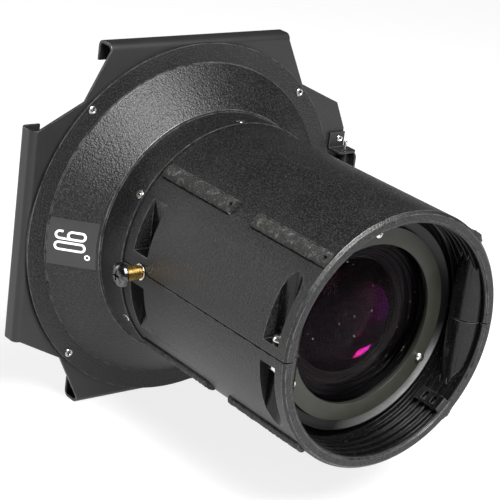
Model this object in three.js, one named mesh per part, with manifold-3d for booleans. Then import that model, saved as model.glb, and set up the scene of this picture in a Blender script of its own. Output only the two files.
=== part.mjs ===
// Lens tube of a profile spotlight: a wide-angle tube in two clamped half shells, carrying three lenses,
// with a conical bell and a folded sheet holder for a square colour frame at the light-output end.
// Units are millimetres and +Z is up. The optical axis is the Y axis: the lamp end (rim) points to -Y and
// the light leaves towards +Y. The origin is on the optical axis, at the front face of the frame holder.
import * as THREE from "three";
import { mergeVertices } from "three/addons/utils/BufferGeometryUtils.js";
import Module from "manifold-3d";

// ---- driving dimensions ----
const COLOUR_FRAME = 190; // side of the standard square colour frame
const FRAME_PLAY = 1.4; // total side play of that frame between the channel webs
const SHEET = 1.5; // thickness of the folded sheet
const GAP = 0.3; // air between pieces that touch
const TUBE_R = 64;
const TUBE_LENGTH = 168.2; // holder's front face to the rim
const COLLAR_R = 65.1;
const COLLAR_END = 39.5; // holder's front face to the free edge of the bell's collar
const BELL_R = 85.6; // top of the cone, above a short wall on the flat flange
const CONE_TOP = 3.1; // holder's front face to the top of the cone
const CONE_FOOT_R = 66.3; // foot of the cone, a small step above the collar
const BELL_DEPTH = 21.6; // holder's front face to the foot of the cone
const FLANGE_R = 95.7;
const FLANGE_T = 2;
const SEGMENTS = 52; // facets round the tube and the bell
const CELL_SEGMENTS = 30; // facets round the lenses and the rings that hold them

// ---- frame holder ----
const WEB_OUT = (COLOUR_FRAME + FRAME_PLAY) / 2 + SHEET; // centre to the outer face of a channel web
const BEND_R = 3.5; // outer bend radius of the sheet
const BEND_LINE = WEB_OUT - BEND_R;
const CHANNEL_DEPTH = 12;
const CHANNEL_HALF = 55.9; // half the length of a folded channel
const RETURN_LIP = 86.4; // centre to the free edge of the return flange
const NOTCH = 68.8; // inner corner of the four corner notches, along both axes
const OPEN_EDGE = 102.9; // centre to the unfolded edge, where the frame slides in
const APERTURE_R = 80;
const RIVET_R = 92.3; // radius of the circle of the four flange rivets
const RIVET_HOLE_R = 1.8;
const CLIP_RIVET_HOLE_R = 1.55;

// ---- tube ----
const SPIGOT_R = 62.6;
const SPIGOT_START = 24;
const BORE_R = 60;
const BAFFLE_R = 58;
const BAFFLES = 5;
const BAFFLE_PITCH = 4.4;
const RIM_CHAMFER = 1.3;
const SPLIT = GAP / 2; // each half shell stops this far from the plane between them
const PAD_ANGLES = { upper_left: 135, lower_left: 225, upper_right: 45, lower_right: 315 };
const PAD_STATIONS = { rear: [42.3, 96.5], front: [113.5, 166.2] };
const PAD_WIDTH = 7.6;
const PAD_PLAY = 0.4; // air round a pad in its slot
const PAD_R = 66.4; // crown of a glide pad
const PAD_FLOOR = 61.8; // floor of the slot that holds it
const CLAMP_X = 57.4; // clamp screws, beside the split
const CLAMP_Y = -156.4;
const CLAMP_BORE_R = 5.4;
const CLAMP_SEAT = 5; // the screw and the nut seat this far from the split
const POCKET_Y = [-58, -46.5]; // pockets over the focus stud's nut, open on the split sides
const POCKET_SEAT = 8; // the web between the upper and the lower pocket is twice this high
const STUD_Y = -55;
const STUD_HEAD_X = -74.7; // underside of the focus stud's head
const ROLLER_R = 3.7;
const ROLLER_START = -65.3;

// ---- lenses, as depths from the rim ----
const depth = (d) => d - TUBE_LENGTH;
const PLATE_DEPTH = 21.5;
const REAR_LENS_R = 42.8;
const REAR_LENS_CURVE = 95;
const MIDDLE_LENS_R = 30;
const MIDDLE_LENS_CURVE = 90;
const FRONT_LENS_R = 54;
const FRONT_LENS_CURVE = 110;
const FRONT_LENS_FLAT = -37; // y of the front lens's flat face

// ---- retaining clip ----
const HINGE_X = 103;
const HINGE_Y = -3;
const KNUCKLE_R = 2.6;
const PIN_R = 1;
const PIN_HOLE_R = 1.3;
const CLIP_HALF = 29.8; // half the length of the leaf, along the hinge
const CLIP_SHEET = 1.2;
const CLIP_CORNER = 3; // corner radius of the leaf and of the bracket's ears
const CLIP_LOW = -10.5; // the leaf's finger edge and the ears end here
const CLIP_HIGH = 11.5; // the leaf's closing edge
const BRACKET_X = 92.5;
const BRACKET_Z = [30.3, 40];

const wasm = await Module();
wasm.setup();

// ---- materials ----
function finish(color, roughness, metalness) {
  return new THREE.MeshStandardMaterial({ color, roughness, metalness });
}
const POWDER_COAT = finish(0x1c1c1d, 0.55, 0.2);
const BLACK_SHEET = finish(0x232325, 0.45, 0.3);
const ANODISED = finish(0x15161a, 0.35, 0.6);
const GREY_PLATE = finish(0x53554f, 0.4, 0.7);
const GLIDE = finish(0x2b2a29, 0.85, 0);
const NICKEL = finish(0xc8c8c4, 0.25, 1);
const BRASS = finish(0xc09038, 0.3, 1);
const GLASS = finish(0x5a3550, 0.05, 0);
const RUBBER = finish(0x101010, 0.8, 0);
const LABEL = finish(0x202022, 0.4, 0);

// ---- solids ----
function solidOf(geometry) {
  const loose = geometry.index ? geometry.toNonIndexed() : geometry;
  const bare = new THREE.BufferGeometry();
  bare.setAttribute("position", loose.getAttribute("position"));
  const merged = mergeVertices(bare, 1e-4);
  const corners = merged.index.array;
  const kept = [];
  for (let i = 0; i < corners.length; i += 3) {
    const [a, b, c] = corners.slice(i, i + 3);
    if (a !== b && b !== c && c !== a) kept.push(a, b, c);
  }
  const vertProperties = merged.getAttribute("position").array;
  return new wasm.Manifold(new wasm.Mesh({ numProp: 3, vertProperties, triVerts: new Uint32Array(kept) }));
}

const join = (first, ...others) => others.reduce((sum, next) => sum.add(next), first);
const cut = (first, ...tools) => tools.reduce((rest, tool) => rest.subtract(tool), first);
const common = (first, second) => first.intersect(second);

// A solid turned round the optical axis from its closed [radius, y] outline.
function turned(outline, segments = SEGMENTS) {
  const points = outline.map(([r, y]) => new THREE.Vector2(r, y));
  if (THREE.ShapeUtils.isClockWise(points)) points.reverse();
  const axial = points.filter((p) => p.x === 0).length;
  if (axial) while (points[0].x !== 0 || points.at(-1).x !== 0) points.push(points.shift());
  else points.push(points[0].clone());
  return solidOf(new THREE.LatheGeometry(points, segments));
}

// The points of a shallow spherical face, from the axis or from the edge, as [radius, y].
function dome(radius, curve, edgeY, towards, steps = 5) {
  const sag = (r) => curve - Math.sqrt(curve * curve - r * r);
  const at = (r) => [r, edgeY + towards * (sag(radius) - sag(r))];
  return Array.from({ length: steps + 1 }, (_, i) => at((radius * i) / steps));
}

function block([x0, x1], [y0, y1], [z0, z1]) {
  const geometry = new THREE.BoxGeometry(x1 - x0, y1 - y0, z1 - z0);
  return solidOf(geometry.translate((x0 + x1) / 2, (y0 + y1) / 2, (z0 + z1) / 2));
}

// A round bar between two points.
function bar(from, to, radius, segments = 20) {
  const a = new THREE.Vector3(...from);
  const b = new THREE.Vector3(...to);
  const along = b.clone().sub(a);
  const geometry = new THREE.CylinderGeometry(radius, radius, along.length(), segments);
  const turn = new THREE.Quaternion().setFromUnitVectors(new THREE.Vector3(0, 1, 0), along.normalize());
  const middle = a.add(b).multiplyScalar(0.5);
  return solidOf(geometry.applyQuaternion(turn).translate(middle.x, middle.y, middle.z));
}

// A flat outline made thick along its normal.
function thickened(shape, depth, curveSegments) {
  return new THREE.ExtrudeGeometry(shape, { depth, bevelEnabled: false, curveSegments });
}

// An outline in the X-Z plane, given as a THREE.Shape of (x, z), made thick from y0 to y1.
function slab(shape, y0, y1) {
  return solidOf(thickened(shape, y1 - y0, 24).rotateX(Math.PI / 2).translate(0, y1, 0));
}

const polygon = (points) => new THREE.Shape(points.map(([x, y]) => new THREE.Vector2(x, y)));
const polar = (radius, degrees) => {
  const angle = THREE.MathUtils.degToRad(degrees);
  return [radius * Math.cos(angle), radius * Math.sin(angle)];
};
// Moves a solid that was drawn on the +X side round the optical axis by an angle from +X towards +Z.
const spun = (solid, degrees) => solid.rotate([0, -degrees, 0]);

const root = new THREE.Group();

function addPart(name, solid, material) {
  const made = solid.getMesh();
  const geometry = new THREE.BufferGeometry();
  geometry.setAttribute("position", new THREE.BufferAttribute(new Float32Array(made.vertProperties), 3));
  geometry.setIndex(new THREE.BufferAttribute(new Uint32Array(made.triVerts), 1));
  geometry.computeVertexNormals();
  const mesh = new THREE.Mesh(geometry, material);
  mesh.name = name;
  root.add(mesh);
}

// ---- folded frame holder ----
const cornerRivets = { upper_right: 45, upper_left: 135, lower_left: 225, lower_right: 315 };
const clipRivetAt = [99.3, 36.2];

// Section of one folded channel: distance from the centre against y, the bend towards the light output.
function channelSection() {
  const inner = BEND_R - SHEET;
  const back = CHANNEL_DEPTH - BEND_R;
  const section = new THREE.Shape();
  section.moveTo(BEND_LINE - 1, 0);
  section.lineTo(BEND_LINE, 0);
  section.absarc(BEND_LINE, BEND_R, BEND_R, -Math.PI / 2, 0, false);
  section.absarc(BEND_LINE, back, BEND_R, 0, Math.PI / 2, false);
  section.lineTo(RETURN_LIP, CHANNEL_DEPTH);
  section.lineTo(RETURN_LIP, CHANNEL_DEPTH - SHEET);
  section.lineTo(BEND_LINE, CHANNEL_DEPTH - SHEET);
  section.absarc(BEND_LINE, back, inner, Math.PI / 2, 0, true);
  section.absarc(BEND_LINE, BEND_R, inner, 0, -Math.PI / 2, true);
  section.lineTo(BEND_LINE - 1, SHEET);
  return section;
}

function frameHolder() {
  const b = CHANNEL_HALF;
  const c = BEND_LINE;
  const n = NOTCH;
  const chamfer = [95.5, 56.7];
  const outline = polygon([
    [-b, c], [-n, n], [-c, b], [-c, -b], [-n, -n], [-b, -c], [b, -c], [n, -n], [chamfer[0], -chamfer[1]],
    [OPEN_EDGE, -41.6], [OPEN_EDGE, 41.6], chamfer, [n, n], [b, c],
  ]);
  outline.holes.push(new THREE.Path().absarc(0, 0, APERTURE_R, 0, 2 * Math.PI, true));
  const sheet = slab(outline, 0, SHEET);
  const fold = thickened(channelSection(), 2 * b, 4);
  const onLeft = solidOf(fold.translate(0, 0, -b)).rotate([0, 180, 0]);
  const folded = join(sheet, onLeft, onLeft.rotate([0, 90, 0]), onLeft.rotate([0, -90, 0]));
  const rivetHoles = Object.values(cornerRivets).map((angle) => {
    const [x, z] = polar(RIVET_R, angle);
    return bar([x, -5, z], [x, 5, z], RIVET_HOLE_R, 12);
  });
  const [x, z] = clipRivetAt;
  const clipHoles = [z, -z].map((height) => bar([x, -5, height], [x, 5, height], CLIP_RIVET_HOLE_R, 12));
  return cut(folded, ...rivetHoles, ...clipHoles);
}
addPart("frame_holder_plate", frameHolder(), BLACK_SHEET);

// ---- bell: flat flange, cone and collar in one casting ----
const collarScrewAngles = [30, 90, 150, 210, 270, 330];
const COLLAR_SCREW_Y = -36.8;

function bell() {
  const wall = 2.4;
  const outline = [
    [FLANGE_R, -GAP], [FLANGE_R, -GAP - FLANGE_T], [BELL_R, -GAP - FLANGE_T], [BELL_R, -CONE_TOP],
    [CONE_FOOT_R, -BELL_DEPTH], [COLLAR_R, -BELL_DEPTH],
    [COLLAR_R, -COLLAR_END + 0.3], [COLLAR_R - 0.3, -COLLAR_END], [SPIGOT_R + GAP, -COLLAR_END],
    [SPIGOT_R + GAP, -SPIGOT_START + GAP], [COLLAR_R - wall, -BELL_DEPTH + 0.6], [BELL_R - wall, -GAP],
  ];
  const flangeHoles = Object.values(cornerRivets).map((angle) => {
    const [x, z] = polar(RIVET_R, angle);
    return bar([x, -5, z], [x, 5, z], RIVET_HOLE_R, 12);
  });
  const screwHole = bar([COLLAR_R - 6, COLLAR_SCREW_Y, 0], [COLLAR_R + 3, COLLAR_SCREW_Y, 0], 2.6, 12);
  return cut(turned(outline), ...flangeHoles, ...collarScrewAngles.map((angle) => spun(screwHole, angle)));
}
addPart("bell_flange", bell(), POWDER_COAT);

// ---- hollow rivets through the flange and the holder, flush at the back ----
function hollowRivet(x, z, headY, headR, shankR) {
  const hole = shankR * 0.55;
  const outline = [
    [hole, SHEET], [shankR, SHEET], [shankR, headY], [headR, headY], [headR, headY - 0.4],
    [headR - 0.6, headY - 0.9], [hole + 0.3, headY - 0.9], [hole, headY - 0.5],
  ];
  return turned(outline, 12).translate([x, 0, z]);
}
for (const [name, angle] of Object.entries(cornerRivets)) {
  const [x, z] = polar(RIVET_R, angle);
  addPart("flange_rivet_" + name, hollowRivet(x, z, -2 * GAP - FLANGE_T, 2.3, 1.5), NICKEL);
}

// ---- tube in two half shells ----
const REAR_SEAT = [depth(25.7), depth(31)]; // groove for the rear lens cell
const FRONT_SEAT = [-37.6, -30.4]; // groove for the front lens cell
const SEAT_R = 60.9;
const FRONT_SEAT_R = 59.9;

function tubeOutline() {
  const y = -TUBE_LENGTH;
  const outer = [
    [SPIGOT_R, -SPIGOT_START], [SPIGOT_R, -COLLAR_END - GAP], [TUBE_R, -COLLAR_END - GAP],
    [TUBE_R, y + RIM_CHAMFER], [TUBE_R - RIM_CHAMFER, y], [BAFFLE_R + 1, y],
  ];
  const baffles = Array.from({ length: BAFFLES }, (_, i) => y + 0.9 + i * BAFFLE_PITCH).flatMap((start) => [
    [BAFFLE_R, start], [BAFFLE_R, start + 1.6], [BORE_R, start + 2.6],
  ]);
  return [
    ...outer, ...baffles, [BAFFLE_R, y + 0.9 + BAFFLES * BAFFLE_PITCH], [BAFFLE_R, REAR_SEAT[0]],
    [SEAT_R, REAR_SEAT[0]], [SEAT_R, REAR_SEAT[1]], [BAFFLE_R, REAR_SEAT[1]], [BAFFLE_R, REAR_SEAT[1] + 2],
    [BORE_R, REAR_SEAT[1] + 4], [BORE_R, FRONT_SEAT[0] - 4], [BAFFLE_R, FRONT_SEAT[0] - 2],
    [BAFFLE_R, FRONT_SEAT[0]], [FRONT_SEAT_R, FRONT_SEAT[0]], [FRONT_SEAT_R, FRONT_SEAT[1]],
    [BAFFLE_R, FRONT_SEAT[1]], [BAFFLE_R, -SPIGOT_START],
  ];
}

const sides = { left: -1, right: 1 };
const clampNutHeight = 3.2;
const studNut = { x: [54.6, 58.2], half: 4 };

// Thickening inside the shell round the clamp bores and the stud pockets, kept within the wall.
function bosses() {
  const inside = turned([[0, depth(1.6)], [TUBE_R - 2, depth(1.6)], [TUBE_R - 2, -40], [0, -40]]);
  const parts = Object.values(sides).flatMap((s) => [
    bar([s * CLAMP_X, CLAMP_Y, -44], [s * CLAMP_X, CLAMP_Y, 44], CLAMP_BORE_R + 3, 28),
    block([s * 57 - 5.6, s * 57 + 5.6], [POCKET_Y[0] - 2.5, POCKET_Y[1] + 2.5], [-38, 38]),
  ]);
  return common(join(...parts), inside);
}

// A small moulded key with two square windows, inside the lower half near the rim.
function keyBlock() {
  const body = block([55, 59.5], [depth(0.9), depth(17)], [-3.6, 3.6]);
  const windows = [4.5, 10.5].map((d) => block([54, 57.5], [depth(d), depth(d + 2.6)], [-2.1, 2.1]));
  return spun(cut(body, ...windows), -45);
}

function tubeTools() {
  const tools = [];
  for (const s of Object.values(sides)) {
    for (const up of [1, -1]) {
      // The clamp bore is a slot that is open to the outside, so that a screwdriver reaches it.
      const x = s * CLAMP_X;
      const outwards = [x, s * (TUBE_R + 6)].sort((a, b) => a - b);
      const slotY = [CLAMP_Y - CLAMP_BORE_R, CLAMP_Y + CLAMP_BORE_R];
      tools.push(bar([x, CLAMP_Y, up * CLAMP_SEAT], [x, CLAMP_Y, up * 60], CLAMP_BORE_R, 28));
      tools.push(block(outwards, slotY, up > 0 ? [CLAMP_SEAT, 60] : [-60, -CLAMP_SEAT]));
      const pocketX = [s * TUBE_R - 9.7, s * TUBE_R + 9.7];
      tools.push(block(pocketX, POCKET_Y, up > 0 ? [POCKET_SEAT, 60] : [-60, -POCKET_SEAT]));
    }
    tools.push(bar([s * CLAMP_X, CLAMP_Y, -9], [s * CLAMP_X, CLAMP_Y, 9], 2.4, 16));
  }
  tools.push(bar([-70, STUD_Y, 0], [-46, STUD_Y, 0], 2.8, 20));
  const nutRoom = studNut.half + GAP;
  const nutX = [-studNut.x[1] - GAP, -studNut.x[0] + GAP];
  tools.push(block(nutX, [STUD_Y - nutRoom, STUD_Y + nutRoom], [-nutRoom, nutRoom]));
  const screwHole = bar([50, COLLAR_SCREW_Y, 0], [70, COLLAR_SCREW_Y, 0], 1.7, 12);
  for (const angle of collarScrewAngles) tools.push(spun(screwHole, angle));
  for (const angle of Object.values(PAD_ANGLES)) {
    for (const [start, end] of Object.values(PAD_STATIONS)) {
      const across = PAD_WIDTH / 2 + PAD_PLAY;
      const slot = block([PAD_FLOOR, 70], [-end - PAD_PLAY, PAD_PLAY - start], [-across, across]);
      tools.push(spun(slot, angle));
    }
  }
  return tools;
}

const shell = cut(join(turned(tubeOutline()), bosses(), keyBlock()), ...tubeTools());
const above = block([-90, 90], [-200, 20], [SPLIT, 90]);
const below = block([-90, 90], [-200, 20], [-90, -SPLIT]);
addPart("tube_upper_half", common(shell, above), POWDER_COAT);
addPart("tube_lower_half", common(shell, below), POWDER_COAT);

// ---- glide pads ----
function glidePad(start, end, angle) {
  const half = PAD_WIDTH / 2;
  const floor = PAD_FLOOR + GAP;
  const section = new THREE.Shape();
  section.moveTo(floor, -half);
  section.lineTo(PAD_R - 1.6, -half);
  section.quadraticCurveTo(PAD_R, -half + 0.3, PAD_R, 0);
  section.quadraticCurveTo(PAD_R, half - 0.3, PAD_R - 1.6, half);
  section.lineTo(floor, half);
  const strip = solidOf(thickened(section, end - start, 3).rotateX(Math.PI / 2).translate(0, -start, 0));
  const hole = bar([PAD_R - 2.2, 1.8 - end, 0], [PAD_R + 2, 1.8 - end, 0], 1.2, 10);
  return spun(cut(strip, hole), angle);
}
for (const [corner, angle] of Object.entries(PAD_ANGLES)) {
  for (const [station, [start, end]] of Object.entries(PAD_STATIONS)) {
    addPart(`glide_pad_${corner}_${station}`, glidePad(start, end, angle), GLIDE);
  }
}

// ---- clamp screws and nuts that hold the half shells together ----
function crossRecess(x, y, z, reach, sink) {
  return join(
    block([x - reach, x + reach], [y - 0.45, y + 0.45], [z - sink, z + 2]),
    block([x - 0.45, x + 0.45], [y - reach, y + reach], [z - sink, z + 2]),
  );
}

// A pan-head screw standing on its head's underside at z = 0, with the shank downwards.
function panScrew(headR, headH, shankR, length) {
  const outline = [
    [0, -length], [shankR, -length], [shankR, 0], [headR, 0], [headR, headH * 0.45],
    [headR * 0.8, headH * 0.85], [headR * 0.45, headH], [0, headH],
  ];
  const screw = turned(outline, 12).rotate([90, 0, 0]);
  return cut(screw, crossRecess(0, 0, headH, headR * 0.5, headH * 0.5));
}

function hexNut(acrossFlats, height, holeR) {
  const body = new THREE.CylinderGeometry(acrossFlats / Math.sqrt(3), acrossFlats / Math.sqrt(3), height, 6);
  const nut = solidOf(body.rotateX(Math.PI / 2));
  return cut(nut, bar([0, 0, -height], [0, 0, height], holeR, 16));
}

for (const [side, s] of Object.entries(sides)) {
  const at = [s * CLAMP_X, CLAMP_Y, CLAMP_SEAT + GAP];
  addPart("clamp_screw_" + side, panScrew(3.9, 3, 2, 16).translate(at), NICKEL);
  const nutZ = -CLAMP_SEAT - GAP - clampNutHeight / 2;
  const nut = hexNut(7, clampNutHeight, 2.3);
  addPart("clamp_nut_" + side, nut.translate([s * CLAMP_X, CLAMP_Y, nutZ]), NICKEL);
}

// ---- collar screws, radial, through the collar into the tube ----
function collarScrew(angle) {
  const inner = 60.7;
  const seat = SPIGOT_R + GAP;
  const outline = [
    [0, inner], [1.4, inner], [1.4, seat], [2.3, seat], [2.3, COLLAR_R + 0.2], [2, COLLAR_R + 0.5],
    [1.3, COLLAR_R + 0.5], [1.3, COLLAR_R - 1], [0, COLLAR_R - 1],
  ];
  const screw = turned(outline, 10).rotate([0, 0, -90]);
  return spun(screw.translate([0, COLLAR_SCREW_Y, 0]), angle);
}
collarScrewAngles.forEach((angle, i) => addPart("collar_screw_" + (i + 1), collarScrew(angle), NICKEL));

// ---- focus stud on the left: square nut, washer, brass roller and pan-head screw ----
const studScrew = panScrew(6.1, 3.9, 2.45, 21.5).rotate([0, -90, 0]).translate([STUD_HEAD_X, STUD_Y, 0]);
addPart("focus_stud_screw", studScrew, NICKEL);
const studShank = bar([-80, STUD_Y, 0], [-40, STUD_Y, 0], 2.75, 20);
const rollerBar = bar([STUD_HEAD_X + GAP, STUD_Y, 0], [ROLLER_START, STUD_Y, 0], ROLLER_R, 28);
addPart("focus_roller", cut(rollerBar, studShank), BRASS);
addPart("focus_stud_washer", cut(bar([-65, STUD_Y, 0], [-64.3, STUD_Y, 0], 4.2, 28), studShank), NICKEL);
const squareNutY = [STUD_Y - studNut.half, STUD_Y + studNut.half];
const squareNut = block([-studNut.x[1], -studNut.x[0]], squareNutY, [-studNut.half, studNut.half]);
addPart("focus_stud_nut", cut(squareNut, studShank), NICKEL);

// ---- rear lens group, near the rim ----
const plateY = depth(PLATE_DEPTH);
const cellFace = plateY + SHEET + GAP;
const rearLensEdge = depth(25.4);
const rearLensBack = depth(29.4);
const retainingScrewR = 46;
const retainingScrewAngles = [90, 210, 330];

function rearLensCell() {
  const outline = [
    [REAR_LENS_R + GAP, cellFace], [52.6, cellFace], [54, cellFace + 1.2], [54, depth(26.2)],
    [SEAT_R - GAP, depth(26.2)], [SEAT_R - GAP, depth(30.6)], [46, depth(30.6)], [46, depth(46)],
    [38.9, depth(46)], [38.9, rearLensBack + GAP], [REAR_LENS_R + GAP, rearLensBack + GAP],
  ];
  const holes = retainingScrewAngles.map((angle) => {
    return spun(bar([retainingScrewR, cellFace - 2, 0], [retainingScrewR, cellFace + 5, 0], 1.3, 12), angle);
  });
  return cut(turned(outline, CELL_SEGMENTS), ...holes);
}
addPart("rear_lens_cell", rearLensCell(), ANODISED);

function retainingPlate() {
  const back = plateY + SHEET;
  const ring = turned([[40, plateY], [49, plateY], [49, back], [40, back]], CELL_SEGMENTS);
  const holes = retainingScrewAngles.map((angle) => {
    return spun(bar([retainingScrewR, plateY - 3, 0], [retainingScrewR, plateY + 4, 0], 1.6, 12), angle);
  });
  return cut(ring, ...holes);
}
addPart("lens_retaining_plate", retainingPlate(), GREY_PLATE);
retainingScrewAngles.forEach((angle, i) => {
  const screw = panScrew(2.5, 1.7, 1.05, 5.4).rotate([90, 0, 0]);
  const placed = screw.translate([retainingScrewR, plateY - GAP, 0]);
  addPart("retaining_plate_screw_" + (i + 1), spun(placed, angle), NICKEL);
});
const gasketY = [cellFace - GAP + 0.2, depth(24.3)];
const gasket = [[40.7, gasketY[0]], [42.6, gasketY[0]], [42.6, gasketY[1]], [40.7, gasketY[1]]];
addPart("lens_gasket", turned(gasket, CELL_SEGMENTS), RUBBER);
const rearLensFace = dome(REAR_LENS_R, REAR_LENS_CURVE, rearLensEdge, -1);
const rearLens = [...rearLensFace, [REAR_LENS_R, rearLensBack], [0, rearLensBack]];
addPart("rear_lens", turned(rearLens, CELL_SEGMENTS), GLASS);

// Stepped black barrel between the rear and the middle lens: each step traps stray light.
function steppedBarrel() {
  const start = rearLensBack + 2 * GAP;
  const steps = [36.6, 34.4, 31.6].flatMap((r, i) => [[r, start + i * 1.5], [r, start + (i + 1) * 1.5]]);
  return turned([
    ...steps, [28.2, start + 4.5], [28.2, depth(35.5)], [30.3, depth(35.5)], [30.3, depth(43.5)],
    [38.6, depth(43.5)], [38.6, start],
  ], CELL_SEGMENTS);
}
addPart("stepped_barrel", steppedBarrel(), ANODISED);
const middleFront = dome(MIDDLE_LENS_R, MIDDLE_LENS_CURVE, depth(36.8), -1, 4);
const middleBack = dome(MIDDLE_LENS_R, MIDDLE_LENS_CURVE, depth(39.6), 1, 4).reverse();
addPart("middle_lens", turned([...middleFront, ...middleBack], CELL_SEGMENTS), GLASS);
const middleRing = [[27, depth(41)], [30, depth(41)], [30, depth(43.4)], [27, depth(43.4)]];
addPart("middle_lens_ring", turned(middleRing, CELL_SEGMENTS), ANODISED);

// ---- front lens group, inside the collar ----
const frontEdge = FRONT_LENS_FLAT + 3;
const frontLensFace = dome(FRONT_LENS_R, FRONT_LENS_CURVE, frontEdge, 1);
const frontLens = [...frontLensFace, [FRONT_LENS_R, FRONT_LENS_FLAT], [0, FRONT_LENS_FLAT]];
addPart("front_lens", turned(frontLens, CELL_SEGMENTS), GLASS);

function frontLensCell() {
  const seatR = FRONT_SEAT_R - GAP;
  return turned([
    [51.5, -39.5], [BAFFLE_R - 0.5, -39.5], [BAFFLE_R - 0.5, -37.3], [seatR, -37.3], [seatR, -30.7],
    [BAFFLE_R - 0.5, -30.7], [BAFFLE_R - 0.5, -28.5], [FRONT_LENS_R + 0.8, -28.5], [FRONT_LENS_R + 0.8, -31],
    [FRONT_LENS_R + 1.6, -31], [FRONT_LENS_R + 1.6, -32.6], [FRONT_LENS_R + GAP, -32.6],
    [FRONT_LENS_R + GAP, FRONT_LENS_FLAT - GAP], [51.5, FRONT_LENS_FLAT - GAP],
  ], CELL_SEGMENTS);
}
addPart("front_lens_cell", frontLensCell(), ANODISED);
const snapRing = [[52, -32.4], [55.2, -32.4], [55.2, -31.2], [52, -31.2]];
addPart("front_lens_ring", turned(snapRing, CELL_SEGMENTS), NICKEL);

// ---- angle label on the left of the cone ----
function angleLabel() {
  const side = 24.6;
  const slope = (BELL_R - CONE_FOOT_R) / (BELL_DEPTH - CONE_TOP);
  const start = -CONE_TOP - 0.5;
  const end = start - side / Math.hypot(1, slope);
  const at = (y, lift) => [BELL_R + slope * (y + CONE_TOP) + lift, y];
  const lift = GAP * Math.hypot(1, slope);
  const section = [at(start, lift), at(end, lift), at(end, 2 * lift), at(start, 2 * lift)];
  return common(turned(section, 2 * SEGMENTS), block([-120, 0], [-40, 10], [-side / 2, side / 2]));
}
addPart("angle_label", angleLabel(), LABEL);

// ---- sprung clip that closes the open side of the frame holder ----
function hinge(z0, z1, radius, segments = 20) {
  return bar([HINGE_X, HINGE_Y, z0], [HINGE_X, HINGE_Y, z1], radius, segments);
}

// A tab riveted to the holder, with an ear bent towards the lamp that carries the hinge pin.
function clipBracket(up) {
  const [z0, z1] = BRACKET_Z;
  const outer = HINGE_X + KNUCKLE_R;
  const back = -GAP;
  const r = CLIP_CORNER;
  const outline = new THREE.Shape();
  outline.moveTo(BRACKET_X, back);
  outline.lineTo(BRACKET_X, CLIP_LOW + r);
  outline.absarc(BRACKET_X + r, CLIP_LOW + r, r, Math.PI, 1.5 * Math.PI, false);
  outline.absarc(outer - r, CLIP_LOW + r, r, -Math.PI / 2, 0, false);
  outline.lineTo(outer, back);
  const ear = solidOf(thickened(outline, CLIP_SHEET, 5).translate(0, 0, up > 0 ? z0 : -z0 - CLIP_SHEET));
  const tab = block([BRACKET_X, OPEN_EDGE], [back - CLIP_SHEET, back], up > 0 ? [z0, z1] : [-z1, -z0]);
  const [x, z] = clipRivetAt;
  const rivetHole = bar([x, -5, up * z], [x, 5, up * z], CLIP_RIVET_HOLE_R, 12);
  return cut(join(tab, ear), hinge(up * (z0 - 1), up * (z0 + 12), PIN_HOLE_R, 16), rivetHole);
}

function retainingClip() {
  const barrels = [[-CLIP_HALF, -7], [7, CLIP_HALF]].map(([z0, z1]) => hinge(z0, z1, KNUCKLE_R));
  const outer = HINGE_X + KNUCKLE_R;
  const h = CLIP_HALF;
  const r = CLIP_CORNER;
  const leaf = new THREE.Shape();
  leaf.absarc(CLIP_HIGH - r, -h + r, r, -Math.PI / 2, 0, false);
  leaf.absarc(CLIP_HIGH - r, h - r, r, 0, Math.PI / 2, false);
  leaf.absarc(CLIP_LOW + r, h - r, r, Math.PI / 2, Math.PI, false);
  leaf.absarc(CLIP_LOW + r, -h + r, r, Math.PI, 1.5 * Math.PI, false);
  // The leaf is drawn in (y, z) and stands on edge along the hinge.
  const turn = new THREE.Matrix4().makeBasis(
    new THREE.Vector3(0, 1, 0), new THREE.Vector3(0, 0, 1), new THREE.Vector3(1, 0, 0),
  );
  const upright = thickened(leaf, CLIP_SHEET, 5).applyMatrix4(turn);
  const sheet = solidOf(upright.translate(outer - CLIP_SHEET, 0, 0));
  const windowY = [HINGE_Y - KNUCKLE_R - 1, HINGE_Y + KNUCKLE_R + 1];
  const window = block([HINGE_X - 5, HINGE_X + 5], windowY, [-7, 7]);
  return cut(join(sheet, ...barrels), window, hinge(-40, 40, PIN_HOLE_R, 16));
}
addPart("retaining_clip", retainingClip(), BLACK_SHEET);
addPart("clip_bracket_upper", clipBracket(1), BLACK_SHEET);
addPart("clip_bracket_lower", clipBracket(-1), BLACK_SHEET);
addPart("clip_hinge_pin", hinge(-34.8, 34.8, PIN_R, 16), NICKEL);
const clipRivetHead = -2 * GAP - CLIP_SHEET;
addPart("clip_rivet_upper", hollowRivet(clipRivetAt[0], clipRivetAt[1], clipRivetHead, 2, 1.25), NICKEL);
addPart("clip_rivet_lower", hollowRivet(clipRivetAt[0], -clipRivetAt[1], clipRivetHead, 2, 1.25), NICKEL);

// The torsion spring's coil sits on the hinge pin, and its leg bears on the holder.
function clipSpring() {
  const coil = hinge(-6.2, 6.2, 2.2);
  const leg = bar([HINGE_X - 1.6, HINGE_Y + 1.1, -5.6], [HINGE_X - 6.4, HINGE_Y + 1.1, -5.6], 0.45, 8);
  return cut(join(coil, leg), hinge(-10, 10, 1.35, 16));
}
addPart("clip_spring", clipSpring(), NICKEL);

export default root;
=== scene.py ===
# %% [markdown]
# # A wide-angle lens tube for a profile spotlight
#
# The real thing is a cast tube in two half shells with three lenses in it. A conical bell carries a folded
# sheet holder for a square colour frame. The CAD model fixes every size and place. This lesson builds the
# fine surface around it: turned parts are spun from an outline, sheet is folded and then thickened, and
# whatever repeats (screws, rivets, glide pads, spring turns) is made by Geometry Nodes.

# %% Load the CAD frame
import math

import bmesh
import bpy
from mathutils import Matrix, Vector


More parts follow.
